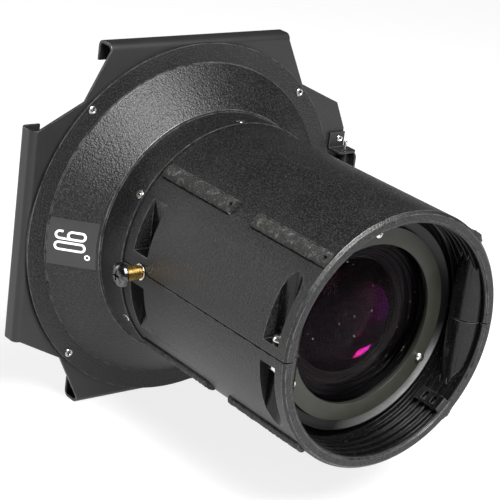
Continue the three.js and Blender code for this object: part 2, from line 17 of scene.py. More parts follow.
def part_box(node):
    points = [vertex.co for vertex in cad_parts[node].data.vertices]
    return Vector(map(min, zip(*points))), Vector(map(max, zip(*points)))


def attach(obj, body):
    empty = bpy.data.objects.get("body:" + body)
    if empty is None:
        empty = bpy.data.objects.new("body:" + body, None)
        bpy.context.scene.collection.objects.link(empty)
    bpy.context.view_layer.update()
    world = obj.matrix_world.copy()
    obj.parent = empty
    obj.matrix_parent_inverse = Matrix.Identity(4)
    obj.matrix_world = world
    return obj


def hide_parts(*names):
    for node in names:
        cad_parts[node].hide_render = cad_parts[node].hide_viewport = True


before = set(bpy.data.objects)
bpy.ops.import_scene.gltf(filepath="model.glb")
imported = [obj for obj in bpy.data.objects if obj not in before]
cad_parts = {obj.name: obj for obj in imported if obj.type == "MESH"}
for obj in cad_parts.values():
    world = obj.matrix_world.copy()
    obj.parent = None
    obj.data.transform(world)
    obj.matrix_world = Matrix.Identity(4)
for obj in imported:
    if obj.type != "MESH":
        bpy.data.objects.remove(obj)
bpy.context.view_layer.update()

# %% [markdown]
# The CAD model gives the driving sizes. They are read from the boxes of its nodes and turned into
# millimetres, because a person thinks about a lens tube in millimetres. The optical axis is Y, the lamp end
# points to -Y, and the light leaves towards +Y.

# %% Driving sizes, read from the frame
MM = 0.001


def span(node):
    """Lowest and highest corner of a CAD node, in millimetres."""
    low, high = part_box(node)
    return [round(v / MM, 3) for v in low], [round(v / MM, 3) for v in high]


holder_low, holder_high = span("frame_holder_plate")
bell_low, bell_high = span("bell_flange")
tube_low, tube_high = span("tube_upper_half")
WEB_OUT = -holder_low[0]
OPEN_EDGE = holder_high[0]
CHANNEL_DEPTH = holder_high[1]
FLANGE_R = bell_high[2]
FLANGE_FACE = bell_high[1]
COLLAR_END = bell_low[1]
TUBE_R = tube_high[2]
RIM = tube_low[1]
SPIGOT_START = tube_high[1]
GAP = 0.3
SHEET = 1.5
UP = (0, 0, 1)
print("tube", TUBE_R, "mm radius,", RIM, "mm to the rim; flange", FLANGE_R, "mm; holder", WEB_OUT, "mm")

# %% [markdown]
# ## Formulas instead of loose nodes
#
# A material or a Geometry Nodes tree is a formula. Writing it as one keeps it readable: a small class wraps
# an output socket, and the usual operators add Math nodes. One method adds any other node: it takes the
# node's type, its settings, and the values or links of its sockets.

# %% Sockets as numbers
def operator(operation, swapped=False):
    """A method that adds one Math node between a wire and another value."""
    def method(wire, other):
        return wire.graph.maths(operation, *((other, wire) if swapped else (wire, other)))

    return method


class Wire:
    """An output socket that works in a formula."""

    def __init__(self, graph, socket):
        self.graph = graph
        self.socket = socket

    __add__ = operator("ADD")
    __radd__ = operator("ADD", swapped=True)
    __sub__ = operator("SUBTRACT")
    __rsub__ = operator("SUBTRACT", swapped=True)
    __mul__ = operator("MULTIPLY")
    __rmul__ = operator("MULTIPLY", swapped=True)
    __truediv__ = operator("DIVIDE")
    __rtruediv__ = operator("DIVIDE", swapped=True)
    __pow__ = operator("POWER")


class Graph:
    """A node tree that is filled with formulas."""

    def __init__(self, tree):
        self.tree = tree

    def feed(self, socket, value):
        if isinstance(value, Wire):
            self.tree.links.new(value.socket, socket)
        else:
            socket.default_value = value

    def node(self, kind, settings=None, **inputs):
        made = self.tree.nodes.new(kind)
        for key, value in (settings or {}).items():
            setattr(made, key, value)
        for key, value in inputs.items():
            wanted = key.replace("_", " ").lower()
            socket = next(s for s in made.inputs if s.enabled and s.name.lower() == wanted)
            self.feed(socket, value)
        return made

    def wire(self, kind, settings=None, output=None, **inputs):
        made = self.node(kind, settings, **inputs)
        found = [s for s in made.outputs if s.enabled and output in (None, s.name)]
        return Wire(self, found[0])

    def maths(self, operation, *values):
        made = self.tree.nodes.new("ShaderNodeMath")
        made.operation = operation
        for socket, value in zip(made.inputs, values):
            self.feed(socket, value)
        return Wire(self, made.outputs[0])

    def scaled(self, vector, factor):
        made = self.node("ShaderNodeVectorMath", {"operation": "SCALE"}, vector=vector, scale=factor)
        return Wire(self, made.outputs["Vector"])


# %% [markdown]
# ## Finishes
#
# Every finish reads Object coordinates, which are metres in the frame of the part, so the grain of a
# powder coat is as coarse on a rivet's neighbour as it is on the tube. Grain goes to the bump, and slow
# noise moves the colour and the roughness a little, as handling does.

# %% Building blocks of a finish
def new_finish(name, **constants):
    """A material, its graph, its Principled shader, and the object coordinates in metres."""
    material = bpy.data.materials.new(name)
    material.use_nodes = True
    graph = Graph(material.node_tree)
    shader = material.node_tree.nodes["Principled BSDF"]
    for key, value in constants.items():
        shader.inputs[key.replace("_", " ")].default_value = value
    place = graph.wire("ShaderNodeTexCoord", output="Object")
    return material, graph, shader, place


def noise(graph, place, grain_mm, detail=2.0, roughness=0.55, stretch=None):
    """Noise whose lumps are about grain_mm across, optionally stretched along the axes."""
    if stretch:
        place = graph.wire("ShaderNodeMapping", vector=place, scale=stretch)
    return graph.wire("ShaderNodeTexNoise", output="Fac", vector=place, scale=1 / (grain_mm * MM),
                      detail=detail, roughness=roughness)


def blend(graph, factor, first, second):
    """A colour between two colours."""
    return graph.wire("ShaderNodeMix", {"data_type": "RGBA"}, factor=factor, a=first, b=second)


def stepped(graph, value, low, high):
    """0 below low, 1 above high, and a straight ramp between them."""
    return graph.wire("ShaderNodeMapRange", value=value, from_min=low, from_max=high)


def bumped(graph, shader, height, depth_mm, strength=1.0):
    normal = graph.wire("ShaderNodeBump", strength=strength, distance=depth_mm * MM, height=height)
    graph.feed(shader.inputs["Normal"], normal)


def across_axis(graph, place):
    """The X and Z coordinates, which lie across the optical axis."""
    apart = graph.node("ShaderNodeSeparateXYZ", vector=place)
    return Wire(graph, apart.outputs["X"]), Wire(graph, apart.outputs["Z"])


def mottled(name, tones, grain_mm, cloud_mm, rough, bump=None, detail=3.0, **constants):
    """A finish whose slow noise moves the colour, with a finer grain. Roughness is (least, cloud, grain)."""
    material, graph, shader, place = new_finish(name, **constants)
    grain = noise(graph, place, grain_mm)
    cloud = noise(graph, place, cloud_mm, detail=detail)
    least, by_cloud, by_grain = rough
    graph.feed(shader.inputs["Base Color"], blend(graph, cloud, *tones))
    graph.feed(shader.inputs["Roughness"], least + by_cloud * cloud + by_grain * grain)
    if bump:
        bumped(graph, shader, grain, *bump)
    return material


# %% [markdown]
# The castings and the bell are coated with a textured black powder: a semi-gloss skin full of small hard
# lumps, about a millimetre across, with a finer grain that breaks up the colour. The coat is thin and paler
# on handled edges, partly from wear and partly as a painted highlight, and smooth and glossy inside the
# tube, where little powder reaches.

# %% Black powder coats
def powder_coat():
    material, graph, shader, place = new_finish("textured_powder_coat", IOR=1.5, Specular_IOR_Level=0.36)
    lumps = noise(graph, place, 1.25, detail=2.0, roughness=0.6)
    grain = noise(graph, place, 0.75, detail=2.0, roughness=0.6)
    cloud = noise(graph, place, 45.0, detail=3.0)
    colour = blend(graph, stepped(graph, grain, 0.48, 0.66), (0.003, 0.003, 0.0031, 1),
                   (0.024, 0.024, 0.0245, 1))
    dusty = blend(graph, stepped(graph, cloud, 0.45, 0.8) * 0.35, colour, (0.022, 0.022, 0.022, 1))
    graph.feed(shader.inputs["Base Color"], dusty)
    graph.feed(shader.inputs["Roughness"], 0.30 + 0.10 * grain + 0.10 * cloud)
    bumped(graph, shader, 0.6 * lumps + 0.4 * grain, 0.6, strength=1.0)
    return material


def worn_and_highlight_edge():
    """A coated edge: handled wear, and a paler colour that is partly a painted highlight."""
    material, graph, shader, place = new_finish("worn_coat_edge", IOR=1.5, Metallic=0.25)
    patchy = noise(graph, place, 5.0, detail=4.0, roughness=0.65)
    colour = blend(graph, stepped(graph, patchy, 0.35, 0.65), (0.014, 0.014, 0.014, 1),
                   (0.085, 0.085, 0.083, 1))
    graph.feed(shader.inputs["Base Color"], colour)
    graph.feed(shader.inputs["Roughness"], 0.18 + 0.2 * patchy)
    return material


def smooth_coat():
    """The thin coat inside the tube."""
    material, graph, shader, place = new_finish("smooth_bore_coat", IOR=1.5, Specular_IOR_Level=0.3)
    specks = noise(graph, place, 0.9)
    colour = blend(graph, stepped(graph, specks, 0.5, 0.75), (0.002, 0.002, 0.002, 1),
                   (0.012, 0.012, 0.012, 1))
    graph.feed(shader.inputs["Base Color"], colour)
    graph.feed(shader.inputs["Roughness"], 0.18 + 0.14 * specks)
    bumped(graph, shader, specks, 0.15, strength=0.5)
    return material


# %% [markdown]
# The lens cells are turned and anodised black. Turning leaves fine rings, which the finish draws from the
# distance to the optical axis. Their edges carry a painted highlight: bright metal on the lower right only.

# %% Turned black anodising
def anodised():
    material, graph, shader, place = new_finish("black_anodised", IOR=1.5, Specular_IOR_Level=0.3)
    x, z = across_axis(graph, place)
    radius = (x * x + z * z) ** 0.5
    rings = graph.wire("ShaderNodeTexNoise", {"noise_dimensions": "1D"}, output="Fac", w=radius,
                       scale=1900.0, detail=1.0)
    speckle = noise(graph, place, 0.6)
    colour = blend(graph, speckle, (0.003, 0.003, 0.0035, 1), (0.007, 0.007, 0.008, 1))
    graph.feed(shader.inputs["Base Color"], colour)
    graph.feed(shader.inputs["Roughness"], 0.22 + 0.12 * rings)
    return material


def polished_edge():
    """Edges of turned black parts: a painted highlight of bright metal on the lower right, dark elsewhere.
    """
    material, graph, shader, place = new_finish("polished_edge", Metallic=0.9)
    x, z = across_axis(graph, place)
    marks = noise(graph, place, 0.9, detail=3.0)
    painted_highlight_metal = blend(graph, marks, (0.16, 0.16, 0.16, 1), (0.42, 0.42, 0.41, 1))
    painted_highlight_side = stepped(graph, 0.6 * x - 0.8 * z, 0.036, 0.050)
    graph.feed(shader.inputs["Base Color"], blend(graph, painted_highlight_side, (0.025, 0.025, 0.025, 1), painted_highlight_metal))
    graph.feed(shader.inputs["Roughness"], 0.25 + 0.2 * marks)
    return material


# %% [markdown]
# The glide pads are rough moulded plastic. Their shape already carries the coarse grain, so the finish only
# adds the fine one, with grey scuffs on the lumps that rub in the housing.

# %% Glide pads
def glide():
    material, graph, shader, place = new_finish("rough_glide_pad", IOR=1.45)
    crumbs = noise(graph, place, 0.7, detail=4.0, roughness=0.7)
    scuffs = noise(graph, place, 3.5, detail=5.0, roughness=0.7)
    colour = blend(graph, stepped(graph, crumbs, 0.3, 0.8), (0.004, 0.004, 0.004, 1),
                   (0.022, 0.021, 0.020, 1))
    worn = blend(graph, stepped(graph, scuffs * crumbs, 0.27, 0.38) * 0.8, colour, (0.11, 0.107, 0.10, 1))
    graph.feed(shader.inputs["Base Color"], worn)
    graph.feed(shader.inputs["Roughness"], 0.55 + 0.3 * scuffs)
    bumped(graph, shader, crumbs, 0.35, strength=0.8)
    return material


# %% [markdown]
# Bright metal looks flat without some life in it: slow noise moves the tint, and stretched noise leaves
# the marks of forming or turning. The brass roller is turned, so its marks run round the stud.

# %% Nickel, spring steel and brass
def bright_metal(name, dull, clean, roughness, stretch=(1, 1, 1)):
    material, graph, shader, place = new_finish(name, Metallic=1.0)
    cloud = noise(graph, place, 1.6, detail=3.0)
    marks = noise(graph, place, 0.25, detail=2.0, stretch=stretch)
    graph.feed(shader.inputs["Base Color"], blend(graph, stepped(graph, cloud, 0.3, 0.7), dull, clean))
    graph.feed(shader.inputs["Roughness"], roughness + 0.16 * cloud)
    bumped(graph, shader, marks, 0.02, strength=0.6)
    return material


# %% [markdown]
# The lenses are coated, which weakens and tints their reflections. Glass is a Principled shader with full
# transmission, and the tint is a constant on its own socket. The rear lens has a low index, which stands for
# its coating. A few specks of dust lie on the glass. The far face of the middle lens is a metal mirror of
# the room, and its colour is a painted reflection: magenta on the left, violet on the right, dark in the
# middle.

# %% Coated glass
def coated_glass(name, body, tint, dust=0.75, haze=0.0, index=1.60):
    material, graph, shader, place = new_finish(
        name, Base_Color=body, Roughness=0.012, IOR=index, Transmission_Weight=1.0, Specular_Tint=tint,
        Coat_Weight=haze, Coat_Roughness=0.34,
    )
    spots = graph.wire("ShaderNodeTexVoronoi", output="Distance", vector=place, scale=230.0)
    sparse = noise(graph, place, 6.0)
    speck = (1 - stepped(graph, spots, 0.05, 0.11)) * stepped(graph, sparse, 0.52, 0.60) * dust
    powder = graph.node("ShaderNodeBsdfDiffuse", color=(0.35, 0.34, 0.33, 1))
    mixed = graph.tree.nodes.new("ShaderNodeMixShader")
    graph.feed(mixed.inputs[0], speck)
    graph.tree.links.new(shader.outputs[0], mixed.inputs[1])
    graph.tree.links.new(powder.outputs[0], mixed.inputs[2])
    graph.tree.links.new(mixed.outputs[0], graph.tree.nodes["Material Output"].inputs["Surface"])
    return material


def painted_reflection_mirror():
    """Far face of a lens: a mirror whose painted reflection is magenta left, violet right, stronger off the
    middle.
    """
    material, graph, shader, place = new_finish("magenta_bloom", Metallic=1.0, Roughness=0.03)
    x, z = across_axis(graph, place)
    painted_reflection_hue = blend(graph, stepped(graph, x, 0.006, 0.026), (0.30, 0.004, 0.07, 1), (0.12, 0.012, 0.26, 1))
    edge = stepped(graph, (x * x + z * z) ** 0.5, 0.008, 0.024)
    graph.feed(shader.inputs["Base Color"], blend(graph, edge * edge, (0.012, 0.001, 0.006, 1), painted_reflection_hue))
    return material


# %% [markdown]
# The holder and its clip are thin steel in a smoother satin black. That sheet, the plate in front of the
# rear lens, the gasket and the label are plain enough for one recipe.

# %% The finishes in use
POWDER = powder_coat()
# Eased edges: paler from wear, and partly a painted highlight.
WORN_AND_HIGHLIGHT = worn_and_highlight_edge()
SMOOTH = smooth_coat()
SATIN = mottled("satin_black_sheet", ((0.008, 0.008, 0.0083, 1), (0.016, 0.016, 0.0164, 1)), 1.0, 30.0,
                (0.34, 0.12, 0.06), (0.25, 0.5), IOR=1.5, Specular_IOR_Level=0.4)
ANODISED = anodised()
# Painted highlight: bright metal on the lower right of turned edges, dark elsewhere.
PAINTED_HIGHLIGHT_EDGE = polished_edge()
GREY = mottled("grey_green_plate", ((0.018, 0.019, 0.014, 1), (0.036, 0.038, 0.029, 1)), 0.7, 9.0,
               (0.30, 0, 0.18), (0.05, 0.5), Metallic=0.35, IOR=1.5)
GLIDE = glide()
RUBBER = mottled("black_rubber", ((0.006, 0.006, 0.006, 1), (0.016, 0.016, 0.016, 1)), 0.4, 0.4,
                 (0.6, 0.2, 0), (0.05,), detail=2.0, IOR=1.45)
FILM = mottled("label_film", ((0.016, 0.016, 0.017, 1), (0.026, 0.026, 0.027, 1)), 0.5, 8.0,
               (0.36, 0, 0.08), (0.04, 0.5), detail=2.0, IOR=1.5)
INK = mottled("label_ink", ((0.86, 0.86, 0.85, 1), (0.93, 0.93, 0.92, 1)), 0.5, 2.0, (0.4, 0.1, 0), IOR=1.5)
NICKEL = bright_metal("bright_nickel", (0.50, 0.49, 0.47, 1), (0.80, 0.79, 0.76, 1), 0.16)
STEEL = bright_metal("spring_steel", (0.30, 0.30, 0.30, 1), (0.50, 0.50, 0.50, 1), 0.22)
BLACK_NICKEL = bright_metal("black_nickel", (0.03, 0.03, 0.031, 1), (0.13, 0.13, 0.135, 1), 0.12)
BRASS = bright_metal("turned_brass", (0.55, 0.33, 0.07, 1), (0.86, 0.60, 0.20, 1), 0.18,
                     stretch=(1, 0.05, 0.05))
REAR_GLASS = coated_glass("clear_coated_glass", (0.42, 0.40, 0.42, 1), (0.7, 0.4, 0.55, 1), index=1.10)
MIDDLE_GLASS = coated_glass("inner_coated_glass", (0.7, 0.5, 0.55, 1), (0.06, 0.04, 0.06, 1), dust=0.2,
                            haze=0.12)
# Painted reflection: the colour of the middle lens's far face, set by position.
PAINTED_REFLECTION = painted_reflection_mirror()
# The front lens transmits almost nothing: painted shade that keeps the view through the tube dark.
PAINTED_SHADE_GLASS = coated_glass("violet_coated_glass", (0.03, 0.02, 0.035, 1), (0.62, 0.40, 1.0, 1), dust=0.3)
print("finishes:", [m.name for m in bpy.data.materials])

# %% [markdown]
# ## Tools of the workshop
#
# Three ways of making a solid cover nearly everything here: a turned outline, an extruded outline, and a
# boolean that joins or cuts them. Corners of an outline carry their own radius, so edges catch the light.

# %% Outlines
def rounded(corners, steps=4):
    """A closed outline from corners (a, b, radius). A corner with a radius becomes a smooth arc."""
    path = []
    for i, (a, b, radius) in enumerate(corners):
        here = Vector((a, b))
        if not radius:
            path.append((a, b))
            continue
        before = Vector(corners[i - 1][:2]) - here
        after = Vector(corners[(i + 1) % len(corners)][:2]) - here
        half = before.angle(after) / 2
        reach = min(radius / math.tan(half), 0.48 * before.length, 0.48 * after.length)
        start = here + before.normalized() * reach
        end = here + after.normalized() * reach
        for k in range(steps + 1):
            t = k / steps
            path.append(tuple((1 - t) ** 2 * start + 2 * t * (1 - t) * here + t * t * end))
    return path


def arc(centre, radius, start, end, steps):
    """Points on an arc, with angles in degrees."""
    angles = [math.radians(start + (end - start) * k / steps) for k in range(steps + 1)]
    return [(centre[0] + radius * math.cos(a), centre[1] + radius * math.sin(a)) for a in angles]


def polar(radius, degrees):
    return radius * math.cos(math.radians(degrees)), radius * math.sin(math.radians(degrees))


# %% [markdown]
# A spun outline closes on itself. Points on the axis become one vertex, so no pole stays open. The first
# facet is turned by half its width, which keeps vertices off the planes where halves are split.

# %% Turned and extruded solids
def spin(outline, turns=192):
    """Points and faces of a closed [radius, height] outline turned round Z."""
    points = []
    rows = []
    for r, h in outline:
        if abs(r) < 1e-6:
            rows.append([len(points)] * turns)
            points.append((0.0, 0.0, h))
            continue
        rows.append(range(len(points), len(points) + turns))
        for k in range(turns):
            a = 2 * math.pi * (k + 0.5) / turns
            points.append((r * math.cos(a), r * math.sin(a), h))
    faces = []
    for one, two in zip(rows, rows[1:] + rows[:1]):
        for k in range(turns):
            n = (k + 1) % turns
            face = list(dict.fromkeys([one[k], one[n], two[n], two[k]]))
            if len(face) > 2:
                faces.append(face)
    return points, faces


def extruded(outline, low, high):
    """Points and faces of a closed (x, y) outline made thick from low to high along Z."""
    n = len(outline)
    points = [(x, y, low) for x, y in outline] + [(x, y, high) for x, y in outline]
    sides = [[k, (k + 1) % n, n + (k + 1) % n, n + k] for k in range(n)]
    return points, sides + [list(range(n)), list(range(n, 2 * n))]


def box(x, y, z):
    """Points and faces of a block between two values on each axis."""
    return extruded([(x[0], y[0]), (x[1], y[0]), (x[1], y[1]), (x[0], y[1])], *z)


def aimed(shape, towards, at=(0, 0, 0)):
    """Moves a shape drawn along +Z so that it points towards a direction, from a place."""
    turn = Vector(towards).to_track_quat("Z", "Y")
    return [tuple(turn @ Vector(p) + Vector(at)) for p in shape[0]], shape[1]


def on_axis(shape):
    """Lays a shape turned round Z on the optical axis, its height along +Y."""
    return [(x, h, z) for x, z, h in shape[0]], shape[1]


def round_axis(shape, degrees):
    """Turns a shape drawn on the +X side about the optical axis, from +X towards +Z."""
    c, s = math.cos(math.radians(degrees)), math.sin(math.radians(degrees))
    return [(x * c - z * s, y, x * s + z * c) for x, y, z in shape[0]], shape[1]


def together(*shapes):
    """Several shapes that don't touch, as one."""
    points, faces = [], []
    for p, f in shapes:
        faces += [[i + len(points) for i in face] for face in f]
        points += p
    return points, faces


# %% [markdown]
# Objects are made in metres at the origin, their place held in the mesh. Booleans and modifiers are baked
# at once, so each piece is a plain mesh when it is handed to the frame.

# %% Objects, booleans and the hand-over
def solid(name, shape):
    """An object from points in millimetres, with its faces pointing out."""
    mesh = bpy.data.meshes.new(name)
    mesh.from_pydata([[v * MM for v in p] for p in shape[0]], [], shape[1])
    skin = bmesh.new()
    skin.from_mesh(mesh)
    bmesh.ops.remove_doubles(skin, verts=skin.verts, dist=1e-7)
    bmesh.ops.recalc_face_normals(skin, faces=skin.faces)
    skin.to_mesh(mesh)
    skin.free()
    piece = bpy.data.objects.new(name, mesh)
    bpy.context.scene.collection.objects.link(piece)
    return piece


def bake(piece):
    """Replaces a piece's mesh by its evaluated one and drops its modifiers."""
    seen = piece.evaluated_get(bpy.context.evaluated_depsgraph_get())
    mesh = bpy.data.meshes.new_from_object(seen)
    piece.modifiers.clear()
    piece.data = mesh
    return piece


def combine(piece, operation, tool):
    """Joins, cuts or keeps the common part of a piece and a tool, which is used up."""
    step = piece.modifiers.new(operation.lower(), "BOOLEAN")
    step.operation = operation
    step.solver = "EXACT"
    step.object = tool
    bake(piece)
    bpy.data.objects.remove(tool)
    return piece


def eased(piece, width, coat, worn=None, angle=35, segments=2):
    """Rounds the edges that are sharper than an angle. Their own finish may carry wear and a painted
    highlight.
    """
    piece.data.materials.clear()
    piece.data.materials.append(coat)
    # The edge finish carries wear and painted highlights.
    if worn:
        piece.data.materials.append(worn)
    step = piece.modifiers.new("eased edges", "BEVEL")
    step.material = len(piece.data.materials) - 1
    step.width = width * MM
    step.segments = segments
    step.limit_method = "ANGLE"
    step.angle_limit = math.radians(angle)
    step.use_clamp_overlap = False
    step.miter_outer = "MITER_ARC"
    return bake(piece)


def hand_over(piece, body, material, slot, *nodes, sharp=32):
    """Gives a piece its finish and its place in the frame."""
    if material:
        piece.data.materials.clear()
        piece.data.materials.append(material)
    piece.data.shade_smooth()
    piece.data.set_sharp_from_angle(angle=math.radians(sharp))
    flat = piece.modifiers.new("large faces keep flat", "WEIGHTED_NORMAL")
    flat.weight = 95
    flat.keep_sharp = True
    bake(piece)
    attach(piece, body)
    if nodes:
        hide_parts(*nodes)
    print(f"{piece.name}: {len(piece.data.polygons)} faces on {body}")
    return piece


# %% [markdown]
# ## The frame holder
#
# A steel blank with a round window, three edges folded twice into channels that guide a colour frame, and
# the fourth left open. Modelled as sheet metal is made: the blank is a ring of quads from the window to
# the outline, the folds continue the same quads round the bend, and Solidify gives the sheet its gauge.

# %% Blank and folds
BEND_R = 3.5
BEND_LINE = WEB_OUT - BEND_R
CHANNEL_HALF = 55.9
RETURN_LIP = 86.4
NOTCH = 68.8
APERTURE_R = 80
LEAD_IN = (95.5, 56.7)
OPEN_HALF = 41.6
RIVET_R = 92.3
CLIP_RIVET = (99.3, 36.2)


def blank_sides():
    """The sides of the blank as (start, end, fold direction or None), anticlockwise from the top."""
    b, c, n = CHANNEL_HALF, BEND_LINE, NOTCH
    corners = [
        ((-b, c), None), ((-n, n), None), ((-c, b), (-1, 0)), ((-c, -b), None), ((-n, -n), None),
        ((-b, -c), (0, -1)), ((b, -c), None), ((n, -n), None), ((LEAD_IN[0], -LEAD_IN[1]), None),
        ((OPEN_EDGE, -OPEN_HALF), None), ((OPEN_EDGE, OPEN_HALF), None), (LEAD_IN, None), ((n, n), None),
        ((b, c), (0, 1)),
    ]
    return [(here[0], after[0], here[1]) for here, after in zip(corners, corners[1:] + corners[:1])]


def folded_sheet():
    middle = SHEET / 2
    bend = BEND_R - middle
    profile = arc((0, BEND_R), bend, -90, 0, 8)[1:] + arc((0, CHANNEL_DEPTH - BEND_R), bend, 0, 90, 8)
    profile += [(RETURN_LIP - BEND_LINE, CHANNEL_DEPTH - middle)]
    faces, edge, folds = [], [], []
    for start, end, fold in blank_sides():
        length = math.dist(start, end)
        steps = max(1, round(length / 3.2))
        run = []
        for k in range(steps):
            run.append(len(edge))
            t = k / steps
            edge.append((start[0] + (end[0] - start[0]) * t, start[1] + (end[1] - start[1]) * t))
        if fold:
            folds.append((run[0], steps, fold))
    count = len(edge)
    points = [(x, middle, z) for x, z in edge]
    for x, z in edge:
        reach = APERTURE_R / math.hypot(x, z)
        points.append((x * reach, middle, z * reach))
    for k in range(count):
        n = (k + 1) % count
        faces.append([k, n, count + n, count + k])
    for first, steps, (fx, fz) in folds:
        row = [(first + k) % count for k in range(steps + 1)]
        for out, y in profile:
            base = len(points)
            for k in range(steps + 1):
                x, z = edge[(first + k) % count]
                points.append((x + fx * out, y, z + fz * out))
            after = list(range(base, base + steps + 1))
            faces += [[row[k], row[k + 1], after[k + 1], after[k]] for k in range(steps)]
            row = after
    return points, faces


def drill(radius, x, z):
    """A short rod along the optical axis that bores a hole through sheet and flange."""
    return aimed(spin([(0, -6), (radius, -6), (radius, 6), (0, 6)], 32), (0, 1, 0), (x, 0, z))


# %% Sheet holder
holder = solid("frame_holder", folded_sheet())
gauge = holder.modifiers.new("gauge", "SOLIDIFY")
gauge.thickness = SHEET * MM
gauge.offset = 0
gauge.use_even_offset = True
bake(holder)
flange_drills = [drill(1.6, *polar(RIVET_R, a)) for a in (45, 135, 225, 315)]
clip_drills = [drill(1.35, CLIP_RIVET[0], z) for z in (CLIP_RIVET[1], -CLIP_RIVET[1])]
combine(holder, "DIFFERENCE", solid("rivet_holes", together(*flange_drills, *clip_drills)))
eased(holder, 0.28, SATIN, WORN_AND_HIGHLIGHT, angle=50)
hand_over(holder, "tube", None, "black_sheet", "frame_holder_plate")

# %% [markdown]
# ## The bell
#
# One casting: a flat flange against the holder, a low wall, a 45 degree cone with a small step at its foot,
# and a collar that grips the tube. It is turned, so its outline says everything. Every corner is eased, worn
# a little and painted paler as a highlight, because that is where a black casting catches the light.

# %% Bell
BELL_R = 85.6
CONE_TOP = -3.1
CONE_FOOT_R = 66.3
COLLAR_R = 65.1
BELL_FOOT = -21.6
BACK_FACE = FLANGE_FACE - 2
SPIGOT_R = 62.6
SCREW_Y = -36.8
collar_screw_angles = [30, 90, 150, 210, 270, 330]

bell = solid("bell", on_axis(spin([
    (FLANGE_R, FLANGE_FACE), (FLANGE_R, BACK_FACE), (BELL_R, BACK_FACE), (BELL_R, CONE_TOP),
    (CONE_FOOT_R, BELL_FOOT), (COLLAR_R, BELL_FOOT), (COLLAR_R, COLLAR_END), (SPIGOT_R + GAP, COLLAR_END),
    (SPIGOT_R + GAP, SPIGOT_START + GAP), (COLLAR_R - 2.4, BELL_FOOT + 0.6), (BELL_R - 2.4, FLANGE_FACE),
], 256)))
screw_hollow = aimed(spin([(0, 0), (2.35, 0), (2.35, 3), (2.9, 3.6), (2.9, 8), (0, 8)], 40), (1, 0, 0),
                     (COLLAR_R - 3.1, SCREW_Y, 0))
screw_hollows = [round_axis(screw_hollow, a) for a in collar_screw_angles]
combine(bell, "DIFFERENCE", solid("bell_drills", together(*flange_drills, *screw_hollows)))
eased(bell, 0.3, POWDER, WORN_AND_HIGHLIGHT)
hand_over(bell, "tube", None, "powder_coat", "bell_flange")

# %% [markdown]
# ## The tube
#
# Two cast half shells. Each starts as one whole tube: a turned outline with the anti-glare ribs inside the
# rim, thickened by bosses round the clamp bores and by a small key. The bores, pockets and pad slots are
# cut, then the tube is split. The ribs follow a rule, so a loop writes their outline.

# %% Tube outline
CLAMP_X = 57.4
CLAMP_Y = -156.4
CLAMP_BORE = 5.4
CLAMP_SEAT = 5.0
POCKET_Y = (-58, -46.5)
POCKET_X = (54.3, 73.7)
STUD_Y = -55
BORE_R = 60
RIB_R = 58
PAD_FLOOR = 61.8
PAD_HALF = 3.8
pad_runs = {"rear": (-96.5, -42.3), "front": (-166.2, -113.5)}
pad_angles = (45, 135, 225, 315)


def inward(depth):
    """A place on the axis, by its depth behind the rim."""
    return RIM + depth


def tube_outline():
    corners = [
        (SPIGOT_R, SPIGOT_START, 0.3), (SPIGOT_R, COLLAR_END - GAP, 0), (TUBE_R, COLLAR_END - GAP, 0),
        (TUBE_R, inward(1.3), 0), (TUBE_R - 1.3, RIM, 0), (RIB_R + 1.2, RIM, 0),
        (RIB_R + 1.0, inward(0.8), 0),
    ]
    for k in range(5):
        start = inward(0.9 + 4.4 * k)
        corners += [(RIB_R, start, 0.25), (RIB_R, start + 1.6, 0.25), (BORE_R, start + 2.6, 0.3),
                    (BORE_R, start + 4.0, 0.2)]
    seat, end = inward(25.7), inward(31)
    corners += [
        (RIB_R, inward(23.4), 0.25), (RIB_R, seat, 0), (60.9, seat, 0), (60.9, end, 0), (RIB_R, end, 0),
        (RIB_R, end + 2, 0.3), (BORE_R, end + 4, 0.5), (BORE_R, -41.6, 0.5), (RIB_R, -39.6, 0),
        (RIB_R, -37.6, 0), (59.9, -37.6, 0), (59.9, -30.4, 0), (RIB_R, -30.4, 0), (RIB_R, SPIGOT_START, 0.4),
    ]
    return rounded(corners, steps=3)


# %% Bosses, key and cutting tools
def boss_shapes():
    shapes = []
    for s in (-1, 1):
        bore = [(0, -44), (CLAMP_BORE + 3, -44), (CLAMP_BORE + 3, 44), (0, 44)]
        shapes.append(aimed(spin(bore, 64), (0, 0, 1), (s * CLAMP_X, CLAMP_Y, 0)))
        x = sorted((s * 51.4, s * 62.6))
        shapes.append(box(x, (POCKET_Y[0] - 2.5, POCKET_Y[1] + 2.5), (-38, 38)))
    return shapes


def cutting_tools():
    shapes = []
    for s in (-1, 1):
        slot = arc((0, 0), CLAMP_BORE, 90, 270, 32) + [(14, -CLAMP_BORE), (14, CLAMP_BORE)]
        slot = [(s * (CLAMP_X + x), CLAMP_Y + y) for x, y in slot]
        x = sorted((s * POCKET_X[0], s * POCKET_X[1]))
        for up in (-1, 1):
            shapes.append(extruded(slot, *sorted((up * CLAMP_SEAT, up * 60))))
            shapes.append(box(x, POCKET_Y, sorted((up * 8, up * 60))))
        shapes.append(aimed(spin([(0, -4.9), (2.4, -4.9), (2.4, 4.9), (0, 4.9)], 32), UP,
                            (s * CLAMP_X, CLAMP_Y, 0)))
    shapes.append(aimed(spin([(0, 0), (2.8, 0), (2.8, 24), (0, 24)], 48), (1, 0, 0), (-72, STUD_Y, 0)))
    for start, end in pad_runs.values():
        slot = box((PAD_FLOOR, 70), (start - 0.4, end + 0.4), (-PAD_HALF - 0.35, PAD_HALF + 0.35))
        shapes += [round_axis(slot, a) for a in pad_angles]
    return shapes


